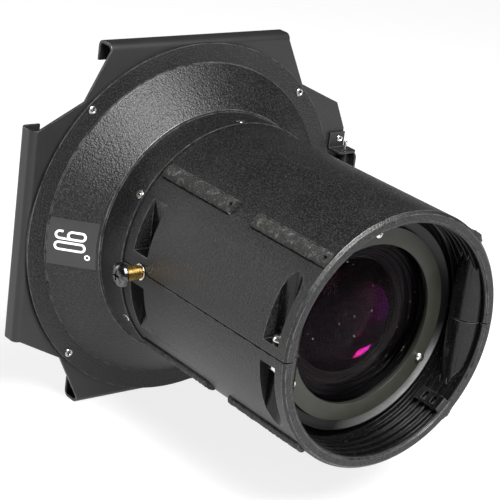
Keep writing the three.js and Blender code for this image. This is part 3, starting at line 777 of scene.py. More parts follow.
def key_shape():
    key = solid("key", round_axis(box((55, 59.5), (inward(0.9), inward(17)), (-3.6, 3.6)), -45))
    windows = [box((54, 57.5), (inward(d), inward(d + 2.6)), (-2.1, 2.1)) for d in (4.5, 10.5)]
    return combine(key, "DIFFERENCE", solid("windows", together(*[round_axis(w, -45) for w in windows])))


def lined(piece, lining):
    """Gives the coated faces inside the tube a finish of their own."""
    piece.data.materials.append(lining)
    for face in piece.data.polygons:
        x, y, z = face.center / MM
        if face.material_index == 0 and math.hypot(x, z) < BORE_R + 0.5 and y > inward(1.5):
            face.material_index = len(piece.data.materials) - 1


# %% Cut, split and ease the half shells
bosses = solid("bosses", together(*boss_shapes()))
room = [(0, inward(1.6)), (TUBE_R - 2, inward(1.6)), (TUBE_R - 2, -40), (0, -40)]
combine(bosses, "INTERSECT", solid("room", on_axis(spin(room, 192))))
tube = solid("tube", on_axis(spin(tube_outline(), 192)))
combine(tube, "UNION", bosses)
combine(tube, "UNION", key_shape())
combine(tube, "DIFFERENCE", solid("tube_tools", together(*cutting_tools())))
for name, z in (("upper", (-90, GAP)), ("lower", (-GAP, 90))):
    half = solid("tube_half_" + name, ([], []))
    half.data = tube.data.copy()
    combine(half, "DIFFERENCE", solid("other_half", box((-90, 90), (-200, 20), z)))
    eased(half, 0.22, POWDER, WORN_AND_HIGHLIGHT, angle=38)
    lined(half, SMOOTH)
    hand_over(half, "tube", None, "powder_coat", "tube_" + name + "_half")
bpy.data.objects.remove(tube)

# %% [markdown]
# ## Fasteners by Geometry Nodes
#
# The same screw sits in many places, so one model of it is put on points. A first tree spaces the points
# evenly on a circle round the optical axis; a second takes them from the vertices of a host mesh. Both
# turn each fastener about its own axis by a seeded random angle, because no two screws stop alike.

# %% Trees that place a fastener
def empty_tree(name, **inputs):
    """A Geometry Nodes tree with named inputs, as (tree, graph, its inputs as wires)."""
    tree = bpy.data.node_groups.new(name, "GeometryNodeTree")
    tree.interface.new_socket("Geometry", in_out="INPUT", socket_type="NodeSocketGeometry")
    for key, kind in inputs.items():
        tree.interface.new_socket(key.replace("_", " "), in_out="INPUT", socket_type="NodeSocket" + kind)
    tree.interface.new_socket("Geometry", in_out="OUTPUT", socket_type="NodeSocketGeometry")
    graph = Graph(tree)
    entry = tree.nodes.new("NodeGroupInput")
    return tree, graph, {s.name: Wire(graph, s) for s in entry.outputs if s.name}


def close_tree(graph, geometry, material):
    """Ends a tree in Realize Instances and Set Material."""
    real = graph.wire("GeometryNodeRealizeInstances", geometry=geometry)
    dressed = graph.wire("GeometryNodeSetMaterial", geometry=real, material=material)
    leave = graph.tree.nodes.new("NodeGroupOutput")
    graph.feed(leave.inputs[0], dressed)


def placed_fasteners(graph, points, facing, values):
    """The fastener on every point, aimed along a direction and turned about itself."""
    aim = graph.wire("FunctionNodeAlignRotationToVector", {"axis": "Z"}, vector=facing)
    angle = graph.wire("FunctionNodeRandomValue", {"data_type": "FLOAT"}, min=0.0, max=values["Turn"],
                       seed=values["Seed"])
    twist = graph.wire("FunctionNodeAxisAngleToRotation", axis=(0, 0, 1), angle=angle)
    turned = graph.wire("FunctionNodeRotateRotation", {"rotation_space": "LOCAL"}, rotation=aim,
                        rotate_by=twist)
    model = graph.wire("GeometryNodeObjectInfo", output="Geometry", object=values["Fastener"])
    return graph.wire("GeometryNodeInstanceOnPoints", points=points, instance=model, rotation=turned)


def ring_tree():
    tree, graph, values = empty_tree(
        "fasteners_on_a_circle", Fastener="Object", Count="Int", Radius="Float", Along="Float",
        First_Angle="Float", Outwards="Float", Turn="Float", Seed="Int", Material="Material",
    )
    index = graph.wire("GeometryNodeInputIndex")
    angle = values["First Angle"] + index * 2 * math.pi / values["Count"]
    across = graph.maths("COSINE", angle)
    upward = graph.maths("SINE", angle)
    place = graph.wire("ShaderNodeCombineXYZ", x=across * values["Radius"], y=values["Along"],
                       z=upward * values["Radius"])
    facing = graph.wire("ShaderNodeCombineXYZ", x=across * values["Outwards"], y=values["Outwards"] - 1,
                        z=upward * values["Outwards"])
    points = graph.wire("GeometryNodePoints", count=values["Count"], position=place)
    close_tree(graph, placed_fasteners(graph, points, facing, values), values["Material"])
    return tree


def host_tree():
    tree, graph, values = empty_tree(
        "fasteners_on_a_host", Fastener="Object", Facing="Vector", Turn="Float", Seed="Int",
        Material="Material",
    )
    points = graph.wire("GeometryNodeMeshToPoints", mesh=values["Geometry"])
    close_tree(graph, placed_fasteners(graph, points, values["Facing"], values), values["Material"])
    return tree


# %% Running a tree
def grown(name, tree, shape=([], []), **values):
    """A plain mesh object made by a Geometry Nodes tree from a host shape and named values."""
    piece = solid(name, shape)
    bpy.context.scene.collection.objects.unlink(piece)
    step = piece.modifiers.new(tree.name, "NODES")
    step.node_group = tree
    for item in tree.interface.items_tree:
        key = item.name.replace(" ", "_")
        if item.in_out == "INPUT" and key in values:
            step[item.identifier] = values[key]
    bpy.context.scene.collection.objects.link(piece)
    return bake(piece)


ON_CIRCLE = ring_tree()
ON_HOST = host_tree()
print("trees:", [t.name for t in bpy.data.node_groups])

# %% [markdown]
# The models themselves stand on Z with their seat at zero. A pan-head screw has a crowned head and a
# tapered cross recess, cut by two wedges. A hollow rivet is a turned ring with a rolled edge.

# %% Screw, rivet, nut and washer models
def wedge(reach, half, sink, top):
    """A cross-recess blade that narrows towards its tip."""
    points = [(-reach, -half, top), (reach, -half, top), (reach, half, top), (-reach, half, top)]
    tip = 0.45 * reach
    points += [(-tip, -0.7 * half, -sink), (tip, -0.7 * half, -sink), (tip, 0.7 * half, -sink),
               (-tip, 0.7 * half, -sink)]
    faces = [[0, 1, 2, 3], [4, 5, 6, 7], [0, 1, 5, 4], [1, 2, 6, 5], [2, 3, 7, 6], [3, 0, 4, 7]]
    return points, faces


def pan_screw(name, head_r, head_h, shank_r, length, turns=64):
    crown = [(0, head_h), (0.35 * head_r, 0.985 * head_h), (0.62 * head_r, 0.92 * head_h),
             (0.82 * head_r, 0.78 * head_h), (0.95 * head_r, 0.52 * head_h), (head_r, 0.22 * head_h)]
    outline = crown + [(head_r, 0.06 * head_h), (0.95 * head_r, 0), (shank_r, 0), (shank_r, -length + 0.4),
                       (shank_r - 0.4, -length), (0, -length)]
    screw = solid(name, spin(outline, turns))
    for turn in (0, 1):
        blade, faces = wedge(0.52 * head_r, 0.095 * head_r, 0.55 * head_h, head_h * 0.2)
        placed = [((-y, x) if turn else (x, y)) + (z + head_h,) for x, y, z in blade]
        combine(screw, "DIFFERENCE", solid("blade", (placed, faces)))
    return screw


def socket_screw(name, head_r, head_h, across, sink, length):
    """A flush screw with a hexagon socket."""
    outline = rounded([(0, head_h, 0), (head_r, head_h, 0.35), (head_r, -0.4, 0), (1.4, -0.4, 0),
                       (1.4, -length, 0.3), (0, -length, 0)])
    screw = solid(name, spin(outline, 48))
    hexagon = [polar(across / math.sqrt(3), 60 * k) for k in range(6)]
    return combine(screw, "DIFFERENCE", solid("socket", extruded(hexagon, head_h - sink, head_h + 1)))


def hollow_rivet(name, head_r, shank_r, shank, hole):
    """A tubular rivet: domed flange at zero and above, clinched roll at the other end."""
    return solid(name, spin(rounded([
        (hole, 0.2, 0.2), (hole + 0.4, 0.65, 0.3), (0.78 * head_r, 0.65, 0.3), (head_r, 0.3, 0.2),
        (head_r, 0, 0.1), (shank_r, 0, 0), (shank_r, -shank, 0), (shank_r + 0.6, -shank, 0.2),
        (shank_r + 0.5, -shank - 0.5, 0.3), (hole + 0.3, -shank - 0.5, 0.3), (hole, -shank + 0.2, 0),
    ]), 48))


def hexagon_nut(name, across, height, hole):
    nut = solid(name, extruded([polar(across / math.sqrt(3), 60 * k) for k in range(6)], 0, height))
    corner = across / math.sqrt(3)
    cone = [(0, -0.1), (across / 2 - 0.1, -0.1), (corner + 0.1, 0.9), (corner + 0.1, height - 0.9),
            (across / 2 - 0.1, height + 0.1), (0, height + 0.1)]
    combine(nut, "INTERSECT", solid("cone", spin(cone, 48)))
    bore = [(0, -1), (hole, -1), (hole, height + 1), (0, height + 1)]
    return combine(nut, "DIFFERENCE", solid("bore", spin(bore, 32)))


# %% [markdown]
# Six small socket screws hold the collar to the tube, three pan-heads hold the plate in front of the rear
# lens, and four hollow rivets join the flange to the holder.

# %% Fasteners on circles
def set_of(name, tree, model, material, nodes, places=(), **values):
    """Copies of a fastener, put in their places by a tree and fixed to the tube."""
    piece = grown(name, tree, (places, []), Fastener=model, Material=material, **values)
    bpy.data.objects.remove(model)
    return hand_over(piece, "tube", None, "nickel", *nodes, sharp=30)


PLATE_Y = inward(21.5)
RETAINER_R = 46
CORNERS = ("upper_right", "upper_left", "lower_left", "lower_right")
set_of("collar_screws", ON_CIRCLE, socket_screw("model", 2.3, 0.35, 2.6, 2.2, 4.2), NICKEL,
       [f"collar_screw_{k + 1}" for k in range(6)], Count=6, Radius=COLLAR_R * MM, Along=SCREW_Y * MM,
       First_Angle=math.radians(30), Outwards=1.0, Turn=2.0, Seed=4)
set_of("plate_screws", ON_CIRCLE, pan_screw("model", 2.5, 1.7, 1.05, 5.0, 48), NICKEL,
       [f"retaining_plate_screw_{k + 1}" for k in range(3)], Count=3, Radius=RETAINER_R * MM,
       Along=(PLATE_Y - GAP) * MM, First_Angle=math.radians(90), Outwards=0.0, Turn=6.0, Seed=2)
set_of("flange_rivets", ON_CIRCLE, hollow_rivet("model", 2.3, 1.5, 4.1, 0.95), STEEL,
       ["flange_rivet_" + corner for corner in CORNERS], Count=4, Radius=RIVET_R * MM,
       Along=(BACK_FACE - 0.05) * MM, First_Angle=math.radians(45), Outwards=0.0, Turn=6.0, Seed=7)

# %% [markdown]
# The clamp screws drop into the upper bores and their nuts into the lower ones. A host mesh of two
# vertices tells the tree where the bores are.

# %% Clamp screws and nuts
seats = [(s * CLAMP_X, CLAMP_Y, CLAMP_SEAT + 0.1) for s in (-1, 1)]
set_of("clamp_screws", ON_HOST, pan_screw("model", 4.3, 3.2, 2.0, 15), NICKEL,
       ["clamp_screw_left", "clamp_screw_right"], seats, Facing=(0, 0, 1), Turn=3.0, Seed=1)
set_of("clamp_nuts", ON_HOST, hexagon_nut("model", 7.6, 3.2, 2.1), NICKEL,
       ["clamp_nut_left", "clamp_nut_right"], [(x, y, -z) for x, y, z in seats], Facing=(0, 0, -1),
       Turn=1.0, Seed=3)

# %% [markdown]
# ## Glide pads
#
# Eight rough strips let the tube slide in its housing. One tree makes them all: a finely cut block is
# crowned, put round the tube, realized, and only then roughened, so every strip gets its own grain.

# %% Tree of the glide pads
def pad_tree():
    tree, graph, values = empty_tree(
        "glide_pads", Count="Int", Radius="Float", Along="Float", Length="Float", Width="Float",
        Height="Float", Crown="Float", Grain_Size="Float", Grain_Depth="Float", Seed="Float",
        Material="Material",
    )
    size = graph.wire("ShaderNodeCombineXYZ", x=values["Width"], y=values["Length"], z=values["Height"])
    block = graph.wire("GeometryNodeMeshCube", output="Mesh", size=size, vertices_x=17, vertices_y=100,
                       vertices_z=6)
    here = graph.node("ShaderNodeSeparateXYZ", vector=graph.wire("GeometryNodeInputPosition"))
    across = Wire(graph, here.outputs["X"]) / values["Width"] * 2
    height = Wire(graph, here.outputs["Z"]) / values["Height"] + 0.5
    drop = graph.wire("ShaderNodeCombineXYZ", z=values["Crown"] * height * (across * across) * -1)
    crowned = graph.wire("GeometryNodeSetPosition", geometry=block, offset=drop)
    index = graph.wire("GeometryNodeInputIndex")
    angle = math.pi / 4 + index * 2 * math.pi / values["Count"]
    middle = values["Radius"] - values["Height"] / 2
    place = graph.wire("ShaderNodeCombineXYZ", x=graph.maths("COSINE", angle) * middle, y=values["Along"],
                       z=graph.maths("SINE", angle) * middle)
    points = graph.wire("GeometryNodePoints", count=values["Count"], position=place)
    lean = graph.wire("ShaderNodeCombineXYZ", y=math.pi / 2 - angle)
    rows = graph.wire("GeometryNodeInstanceOnPoints", points=points, instance=crowned, rotation=lean)
    real = graph.wire("GeometryNodeRealizeInstances", geometry=rows)
    grain = graph.wire("ShaderNodeTexNoise", {"noise_dimensions": "4D"}, output="Fac",
                       vector=graph.wire("GeometryNodeInputPosition"), w=values["Seed"],
                       scale=1 / values["Grain Size"], detail=4.0, roughness=0.65)
    push = graph.scaled(graph.wire("GeometryNodeInputNormal"), (grain - 0.55) * values["Grain Depth"])
    rough = graph.wire("GeometryNodeSetPosition", geometry=real, offset=push)
    close_tree(graph, rough, values["Material"])
    return tree


# %% Rear and front pads
PAD_R = 66.4
PADS = pad_tree()
for station, (start, end) in pad_runs.items():
    pads = grown("glide_pads_" + station, PADS, Count=4, Radius=PAD_R * MM, Along=(start + end) / 2 * MM,
                 Length=(end - start) * MM, Width=2 * PAD_HALF * MM, Height=4.3 * MM, Crown=1.5 * MM,
                 Grain_Size=1.9 * MM, Grain_Depth=2.0 * MM, Seed=3.0 + start, Material=GLIDE)
    rod = spin([(0, -2.2), (1.3, -2.2), (1.3, 3), (0, 3)], 24)
    pin_hole = aimed(rod, (1, 0, 0), (PAD_R, start + 1.8, 0))
    combine(pads, "DIFFERENCE", solid("pin_holes", together(*[round_axis(pin_hole, a) for a in pad_angles])))
    hand_over(pads, "tube", GLIDE, "glide", *[f"glide_pad_{c}_{station}" for c in CORNERS], sharp=60)

# %% [markdown]
# ## Focus stud
#
# A pan-head screw on the left carries a brass roller that runs in the housing's focus slot. Behind it sit
# a washer and a square nut. The roller has its own body, because it turns freely on the screw.

# %% Focus stud
STUD_HEAD = -74.7
ROLLER_START = -65.3
TO_LEFT = (-1, 0, 0)

stud = pan_screw("focus_stud_screw", 6.1, 3.9, 2.45, 21.2, 96)
stud_mesh = solid("focus_stud", aimed(([tuple(v.co / MM) for v in stud.data.vertices],
                                       [list(p.vertices) for p in stud.data.polygons]), TO_LEFT,
                                      (STUD_HEAD, STUD_Y, 0)))
bpy.data.objects.remove(stud)
hand_over(stud_mesh, "tube", BLACK_NICKEL, "nickel", "focus_stud_screw")

roller = solid("focus_roller_brass", aimed(spin(rounded([
    (2.75, 0, 0.3), (2.75, 9.1, 0.3), (3.3, 9.1, 0.2), (3.7, 8.5, 0.3), (3.7, 0.7, 0.3), (3.2, 0, 0.2),
]), 96), TO_LEFT, (ROLLER_START, STUD_Y, 0)))
hand_over(roller, "roller", BRASS, "brass", "focus_roller")

washer = solid("focus_washer", aimed(spin(rounded([
    (2.75, 0, 0.15), (2.75, 0.7, 0.15), (4.1, 0.7, 0.2), (4.1, 0, 0.2),
]), 64), TO_LEFT, (-64.3, STUD_Y, 0)))
hand_over(washer, "tube", NICKEL, "nickel", "focus_stud_washer")

nut = solid("focus_nut", box((-58.2, -54.6), (STUD_Y - 4, STUD_Y + 4), (-4, 4)))
nut_bore = aimed(spin([(0, 0), (2.75, 0), (2.75, 9), (0, 9)], 48), (1, 0, 0), (-61, STUD_Y, 0))
combine(nut, "DIFFERENCE", solid("nut_bore", nut_bore))
hand_over(eased(nut, 0.3, NICKEL), "tube", None, "nickel", "focus_stud_nut")

# %% [markdown]
# ## Lenses and their cells
#
# The rings and barrels are turned parts, so each is one outline. A lens face is a shallow sphere, drawn by
# its formula from the axis to the edge, with enough steps for a clean reflection. The rear cell ends in a
# low slanted lip round the retaining plate, which carries a painted highlight of bright metal.

# %% Lens outlines
def lens_face(radius, curve, edge_y, towards, steps=40):
    """Points of a spherical face from the axis to the edge, bulging towards -1 or +1 along Y."""
    def sag(r):
        return curve - math.sqrt(curve * curve - r * r)

    radii = [radius * k / steps for k in range(steps + 1)]
    return [(r, edge_y + towards * (sag(radius) - sag(r))) for r in radii]


def turned_part(name, corners, material, slot, node, turns=192):
    piece = solid(name, on_axis(spin(corners, turns)))
    return hand_over(piece, "tube", material, slot, node)


# %% Rear lens group
LENS_R = 42.8
LENS_EDGE = inward(25.4)
LENS_BACK = inward(29.4)
CELL_FACE = PLATE_Y + SHEET + GAP
LIP = 1.8
rear_cell = solid("rear_cell", on_axis(spin([
    (LENS_R + GAP, CELL_FACE), (49.7, CELL_FACE), (53.4, CELL_FACE - LIP), (54, CELL_FACE - LIP),
    (54, inward(26.2)), (60.6, inward(26.2)), (60.6, inward(30.6)), (46, inward(30.6)), (46, inward(46)),
    (38.9, inward(46)), (38.9, LENS_BACK + GAP), (LENS_R + GAP, LENS_BACK + GAP),
])))
eased(rear_cell, 0.3, ANODISED, PAINTED_HIGHLIGHT_EDGE)
# The slanted faces of the lip get the painted highlight of bright metal.
for face in rear_cell.data.polygons:
    slanted = 0.5 < -face.normal.y < 0.95
    if slanted:
        face.material_index = 1
hand_over(rear_cell, "tube", None, "anodised", "rear_lens_cell")
plate = solid("retaining_plate", on_axis(spin([
    (40, PLATE_Y), (49, PLATE_Y), (49, PLATE_Y + SHEET), (40, PLATE_Y + SHEET),
])))
# The plate's eased edges get the same painted highlight.
hand_over(eased(plate, 0.25, GREY, PAINTED_HIGHLIGHT_EDGE), "tube", None, "grey_plate", "lens_retaining_plate")
turned_part("gasket", rounded([
    (40.7, CELL_FACE - 0.1, 0.2), (42.6, CELL_FACE - 0.1, 0.2), (42.6, inward(24.3), 0.2),
    (40.7, inward(24.3), 0.2),
]), RUBBER, "rubber", "lens_gasket", turns=128)
turned_part("rear_glass", lens_face(LENS_R, 95, LENS_EDGE, -1) + [(LENS_R, LENS_BACK), (0, LENS_BACK)],
            REAR_GLASS, "glass", "rear_lens", turns=160)

# %% Stepped barrel and middle lens
barrel = []
for k, r in enumerate((36.6, 34.4, 31.6)):
    barrel += [(r, LENS_BACK + 0.6 + 1.5 * k, 0.1), (r, LENS_BACK + 0.6 + 1.5 * (k + 1), 0.2)]
barrel += [(28.2, LENS_BACK + 5.1, 0.2), (28.2, inward(35.5), 0.3), (30.3, inward(35.5), 0),
           (30.3, inward(43.5), 0.2), (38.6, inward(43.5), 0.3), (38.6, LENS_BACK + 0.6, 0.2)]
turned_part("light_trap_barrel", rounded(barrel, steps=3), ANODISED, "anodised", "stepped_barrel")
middle = lens_face(30, 69, inward(36.8), -1) + lens_face(30, 100, inward(39.6), 1)[::-1]
middle_lens = solid("middle_glass", on_axis(spin(middle, 128)))
middle_lens.data.materials.append(MIDDLE_GLASS)
middle_lens.data.materials.append(PAINTED_REFLECTION)
# The far faces get the mirror with the painted reflection.
for face in middle_lens.data.polygons:
    far = face.normal.y > 0.3
    face.material_index = int(far)
hand_over(middle_lens, "tube", None, "glass", "middle_lens")
turned_part("middle_ring", rounded([
    (27, inward(41), 0.3), (30, inward(41), 0.2), (30, inward(43.4), 0.2), (27, inward(43.4), 0.3),
]), ANODISED, "anodised", "middle_lens_ring", turns=128)

# %% Front lens group
FRONT_FLAT = -37
FRONT_R = 54
front_seat = FRONT_FLAT - GAP
front_face = lens_face(FRONT_R, 110, FRONT_FLAT + 3, 1)
# The front lens is the nearly black glass of painted shade.
turned_part("front_glass", front_face + [(FRONT_R, FRONT_FLAT), (0, FRONT_FLAT)], PAINTED_SHADE_GLASS, "glass",
            "front_lens", turns=160)
turned_part("front_cell", rounded([
    (51.5, -39.5, 0.5), (57.5, -39.5, 0.5), (57.5, -37.3, 0), (59.6, -37.3, 0), (59.6, -30.7, 0),
    (57.5, -30.7, 0), (57.5, -28.5, 0.5), (54.8, -28.5, 0.5), (54.8, -31, 0), (55.6, -31, 0),
    (55.6, -32.6, 0), (54.3, -32.6, 0), (54.3, front_seat, 0), (51.5, front_seat, 0.3),
]), ANODISED, "anodised", "front_lens_cell")
snap_ring = solid("snap_ring", on_axis(spin(rounded([
    (52, -32.4, 0.2), (55.2, -32.4, 0.2), (55.2, -31.2, 0.2), (52, -31.2, 0.2),
]), 160)))
combine(snap_ring, "DIFFERENCE", solid("ring_gap", box((-4, 4), (-34, -30), (-58, -48))))
hand_over(snap_ring, "tube", STEEL, "spring_steel", "front_lens_ring")

# %% [markdown]
# ## Angle label
#
# A square film label on the left of the cone gives the beam angle in degrees. The film is a patch of the
# cone, and the figures are drawn as strokes of even width with round ends, then laid on the same cone.

# %% Label film and figures
LABEL_SIDE = 24.6
LABEL_START = CONE_TOP - 0.5
SLOPE = (BELL_R - CONE_FOOT_R) / (CONE_TOP - BELL_FOOT)


def on_cone(u, v, lift):
    """A point of the label, u down the cone and v downwards from its upper edge."""
    y = LABEL_START - u / math.hypot(1, SLOPE)
    r = BELL_R + SLOPE * (y - CONE_TOP) + lift * math.hypot(1, SLOPE)
    z = LABEL_SIDE / 2 - v
    return -math.sqrt(r * r - z * z), y, z


def patch(low, high, steps=24):
    """The film as a closed patch of the cone between two heights above it."""
    grid = [(i, j) for i in range(steps + 1) for j in range(steps + 1)]
    pitch = LABEL_SIDE / steps
    points = [on_cone(pitch * i, pitch * j, h) for h in (low, high) for i, j in grid]
    count = len(grid)
    w = steps + 1
    faces = []
    for i in range(steps):
        for j in range(steps):
            quad = [i * w + j, (i + 1) * w + j, (i + 1) * w + j + 1, i * w + j + 1]
            faces += [quad, [count + q for q in quad]]
    rim = list(range(w)) + [k * w + steps for k in range(1, w)]
    rim += [steps * w + k for k in range(steps - 1, -1, -1)] + [k * w for k in range(steps - 1, 0, -1)]
    for a, b in zip(rim, rim[1:] + rim[:1]):
        faces.append([a, b, count + b, count + a])
    return points, faces


def stroke(path, width, closed, low=0.22, high=0.30):
    """A flat line of even width along a path of (u, v), laid on the cone."""
    sides = ([], [])
    count = len(path)
    for k, (u, v) in enumerate(path):
        before = path[k - 1] if closed or k else path[k]
        after = path[(k + 1) % count] if closed or k < count - 1 else path[k]
        along = Vector((after[0] - before[0], after[1] - before[1])).normalized() * width / 2
        sides[0].append((u - along.y, v + along.x))
        sides[1].append((u + along.y, v - along.x))
    points = [on_cone(u, v, h) for h in (low, high) for side in sides for u, v in side]
    faces = []
    for k in range(count if closed else count - 1):
        n = (k + 1) % count
        lower, upper = [k, n, count + n, count + k], [2 * count + i for i in (k, n, count + n, count + k)]
        faces += [lower, upper, [k, n, 2 * count + n, 2 * count + k]]
        faces.append([count + k, count + n, 3 * count + n, 3 * count + k])
    if not closed:
        for k in (0, count - 1):
            faces.append([k, count + k, 3 * count + k, 2 * count + k])
    return points, faces


def loop(start, end, middle, radius):
    """A long rounded loop from start to end along u, about v = middle."""
    right = arc((end - radius, middle), radius, -90, 90, 14)
    return right + arc((start + radius, middle), radius, 90, 270, 14)


film = solid("angle_label_film", patch(0.06, 0.2))
hand_over(film, "tube", FILM, "label", "angle_label")
STROKE = 1.15
nine_bowl = loop(10.2, 18.8, 8.3, 1.88)
nine_stem = [(14, 10.18)] + arc((5.82, 8.3), 1.88, 90, 270, 14) + [(7.4, 6.42)]
zero = loop(3.9, 18.9, 14.1, 1.88)
ring = arc((20.4, 18.6), 1.1, 0, 345, 23)
figures = solid("angle_label_figures", together(
    stroke(nine_bowl, STROKE, True), stroke(zero, STROKE, True), stroke(ring, 0.65, True),
    stroke(nine_stem, STROKE, False, low=0.23, high=0.29),
))
hand_over(figures, "tube", INK, "label")

# %% [markdown]
# ## Retaining clip
#
# The open side of the holder is closed by a sprung leaf on a hinge. Its pin is carried by two riveted
# brackets, and a torsion spring round the pin pulls the leaf shut. The leaf rides on its own body.

# %% Clip leaf and brackets
HINGE_X = 103
HINGE_Y = -3
KNUCKLE_R = 2.6
CLIP_SHEET = 1.2
CLIP_HALF = 29.8
CLIP_LOW = -10.5
BRACKET_X = 92.5
BRACKET_Z = (30.3, 40)


def bar_on_hinge(radius, low, high, turns=64, ease=0.2):
    outline = rounded([(0, low, 0), (radius, low, ease), (radius, high, ease), (0, high, 0)])
    return aimed(spin(outline, turns), UP, (HINGE_X, HINGE_Y, 0))


def leaf_shape():
    high, h = CHANNEL_DEPTH - 0.5, CLIP_HALF
    edge = rounded([(CLIP_LOW, -h, 3), (high, -h, 3), (high, h, 3), (CLIP_LOW, h, 3)], steps=8)
    points, faces = extruded(edge, HINGE_X + KNUCKLE_R - CLIP_SHEET, HINGE_X + KNUCKLE_R)
    return [(x, y, z) for y, z, x in points], faces


clip = solid("clip_leaf", leaf_shape())
for low, high in ((-CLIP_HALF, -7), (7, CLIP_HALF)):
    combine(clip, "UNION", solid("knuckle", bar_on_hinge(KNUCKLE_R, low, high)))
reach = KNUCKLE_R + 1
window = box((HINGE_X - 5, HINGE_X + 5), (HINGE_Y - reach, HINGE_Y + reach), (-7, 7))
combine(clip, "DIFFERENCE", solid("window", window))
combine(clip, "DIFFERENCE", solid("pin_bore", bar_on_hinge(1.3, -40, 40, ease=0)))
hand_over(eased(clip, 0.2, SATIN, WORN_AND_HIGHLIGHT), "clip", None, "black_sheet", "retaining_clip")

ear_edge = rounded([(BRACKET_X, -GAP, 0), (BRACKET_X, CLIP_LOW, 3), (HINGE_X + KNUCKLE_R, CLIP_LOW, 3),
                    (HINGE_X + KNUCKLE_R, -GAP, 0)], steps=8)
for name, up, drilled in (("upper", 1, clip_drills[0]), ("lower", -1, clip_drills[1])):
    tab = box((BRACKET_X, OPEN_EDGE), (-GAP - CLIP_SHEET, -GAP), sorted(up * z for z in BRACKET_Z))
    bracket = solid("bracket_" + name, tab)
    fold = sorted((up * BRACKET_Z[0], up * (BRACKET_Z[0] + CLIP_SHEET)))
    combine(bracket, "UNION", solid("ear", extruded(ear_edge, *fold)))
    combine(bracket, "DIFFERENCE", solid("ear_bore", bar_on_hinge(1.3, -42, 42, ease=0)))
    combine(bracket, "DIFFERENCE", solid("rivet_hole", drilled))
    hand_over(eased(bracket, 0.25, SATIN, WORN_AND_HIGHLIGHT), "tube", None, "black_sheet", "clip_bracket_" + name)

# %% Hinge pin, rivets and spring
pin = solid("hinge_pin", bar_on_hinge(1.0, -34.8, 34.8, turns=48, ease=0.4))
hand_over(pin, "tube", NICKEL, "nickel", "clip_hinge_pin")
clip_heads = [(CLIP_RIVET[0], -GAP - CLIP_SHEET - 0.05, up * CLIP_RIVET[1]) for up in (1, -1)]
set_of("clip_rivets", ON_HOST, hollow_rivet("model", 2.0, 1.25, 3.4, 0.8), NICKEL,
       ["clip_rivet_upper", "clip_rivet_lower"], clip_heads, Facing=(0, -1, 0), Turn=3.0, Seed=5)

# %% [markdown]
# The spring is wire bent round the pin. A Spiral curve gives the turns, a straight line gives the leg that
# bears on the holder, and Curve to Mesh puts the round wire on both.

# %% Torsion spring
def spring_tree():
    tree, graph, values = empty_tree(
        "torsion_spring", Turns="Float", Radius="Float", Length="Float", Wire_Radius="Float", Leg="Float",
        Place="Vector", Material="Material",
    )
    turns = graph.wire("GeometryNodeCurveSpiral", resolution=28, rotations=values["Turns"],
                       start_radius=values["Radius"], end_radius=values["Radius"], height=values["Length"])
    begin = graph.wire("ShaderNodeCombineXYZ", x=values["Radius"])
    end = graph.wire("ShaderNodeCombineXYZ", x=values["Radius"], y=values["Leg"])
    leg = graph.wire("GeometryNodeCurvePrimitiveLine", start=begin, end=end)
    both = graph.tree.nodes.new("GeometryNodeJoinGeometry")
    graph.feed(both.inputs[0], turns)
    graph.feed(both.inputs[0], leg)
    section = graph.wire("GeometryNodeCurvePrimitiveCircle", {"mode": "RADIUS"}, resolution=12,
                         radius=values["Wire Radius"])
    wire = graph.wire("GeometryNodeCurveToMesh", curve=Wire(graph, both.outputs[0]), profile_curve=section,
                      fill_caps=True)
    moved = graph.wire("GeometryNodeTransform", geometry=wire, translation=values["Place"],
                       rotation=(0, 0, math.pi / 2))
    close_tree(graph, moved, values["Material"])
    return tree


COIL = 11.4
spring = grown("clip_spring_wire", spring_tree(), Turns=11.0, Radius=1.75 * MM, Length=COIL * MM,
               Wire_Radius=0.42 * MM, Leg=6.0 * MM, Place=(HINGE_X * MM, HINGE_Y * MM, -COIL / 2 * MM),
               Material=STEEL)
hand_over(spring, "tube", None, "spring_steel", "clip_spring", sharp=60)

# %% [markdown]
# ## Floor, light and camera
#
# A white floor and a white surround, as on a product table. The black coat shows only what it reflects, so
# the softboxes are placed for their reflections: a large key high in front, a tall strip behind on the
# left, and a weak fill low in front. The paper glows a little, so it stays white in the shade.

# %% Floor
floor = solid("studio_floor", extruded([polar(6000, 360 * k / 64) for k in range(64)], holder_low[2] - 6,
                                       holder_low[2] - 0.1))
paper = bpy.data.materials.new("white_paper")
paper.use_nodes = True
sheet_of_paper = paper.node_tree.nodes["Principled BSDF"]
sheet_of_paper.inputs["Base Color"].default_value = (0.3, 0.3, 0.3, 1)
sheet_of_paper.inputs["Roughness"].default_value = 0.9
sheet_of_paper.inputs["Specular IOR Level"].default_value = 0.1
sheet_of_paper.inputs["Emission Color"].default_value = (1, 1, 1, 1)
sheet_of_paper.inputs["Emission Strength"].default_value = 0.82
floor.data.materials.append(paper)

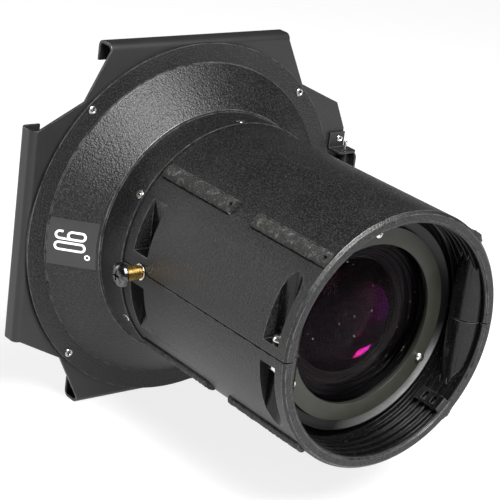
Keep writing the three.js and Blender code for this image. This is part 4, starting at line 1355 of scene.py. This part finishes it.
# %% Surround and softboxes
world = bpy.data.worlds.new("white_surround")
bpy.context.scene.world = world
world.use_nodes = True
sky = Graph(world.node_tree)
to_camera = sky.wire("ShaderNodeLightPath", output="Is Camera Ray")
surround = world.node_tree.nodes["Background"]
surround.inputs["Color"].default_value = (1, 1, 1, 1)
AMBIENT = 0.08
sky.feed(surround.inputs["Strength"], AMBIENT + (1.05 - AMBIENT) * to_camera)


def softbox(name, azimuth, elevation, distance, size, power, aim=(0, -60, 0)):
    """A softbox that looks at a point, from an azimuth (0 is at -Y, 90 at +X) and an elevation."""
    flat = math.cos(math.radians(elevation))
    way = Vector((math.sin(math.radians(azimuth)) * flat, -math.cos(math.radians(azimuth)) * flat,
                  math.sin(math.radians(elevation))))
    light = bpy.data.lights.new(name, "AREA")
    light.shape = "RECTANGLE"
    light.size, light.size_y = size[0] * MM, size[1] * MM
    light.energy = power
    lamp = bpy.data.objects.new(name, light)
    bpy.context.scene.collection.objects.link(lamp)
    lamp.location = (Vector(aim) + way * distance) * MM
    lamp.rotation_euler = way.to_track_quat("Z", "Y").to_euler()
    return lamp


softbox("key_softbox", -12, 52, 1000, (480, 640), 30)
softbox("back_left_strip", -140, 18, 1000, (260, 700), 3)
softbox("low_front_fill", 8, 6, 1400, (260, 260), 0.8)

# %% [markdown]
# The camera looks from the front left and a little above, with a long lens, and it leans by a few degrees.
# Its place follows from its direction, its distance and the point it looks at.

# %% Camera
AZIMUTH, ELEVATION, ROLL = math.radians(-39.8), math.radians(20.37), math.radians(7.64)
AIM = Vector((25.7, -26.6, -10.9))
DISTANCE = 967.8
forward = Vector((-math.sin(AZIMUTH) * math.cos(ELEVATION), math.cos(AZIMUTH) * math.cos(ELEVATION),
                  -math.sin(ELEVATION)))
level = Vector((math.cos(AZIMUTH), math.sin(AZIMUTH), 0))
right = level * math.cos(ROLL) + level.cross(forward) * math.sin(ROLL)
lens = bpy.data.cameras.new("camera")
lens.lens = 132.91
lens.sensor_width = 36
lens.clip_end = 50
camera = bpy.data.objects.new("camera", lens)
bpy.context.scene.collection.objects.link(camera)
camera.location = (AIM - forward * DISTANCE) * MM
upright = right.cross(forward)
camera.rotation_euler = Matrix((right, upright, -forward)).transposed().to_euler()
bpy.context.scene.camera = camera
bpy.context.scene.view_settings.view_transform = "Standard"
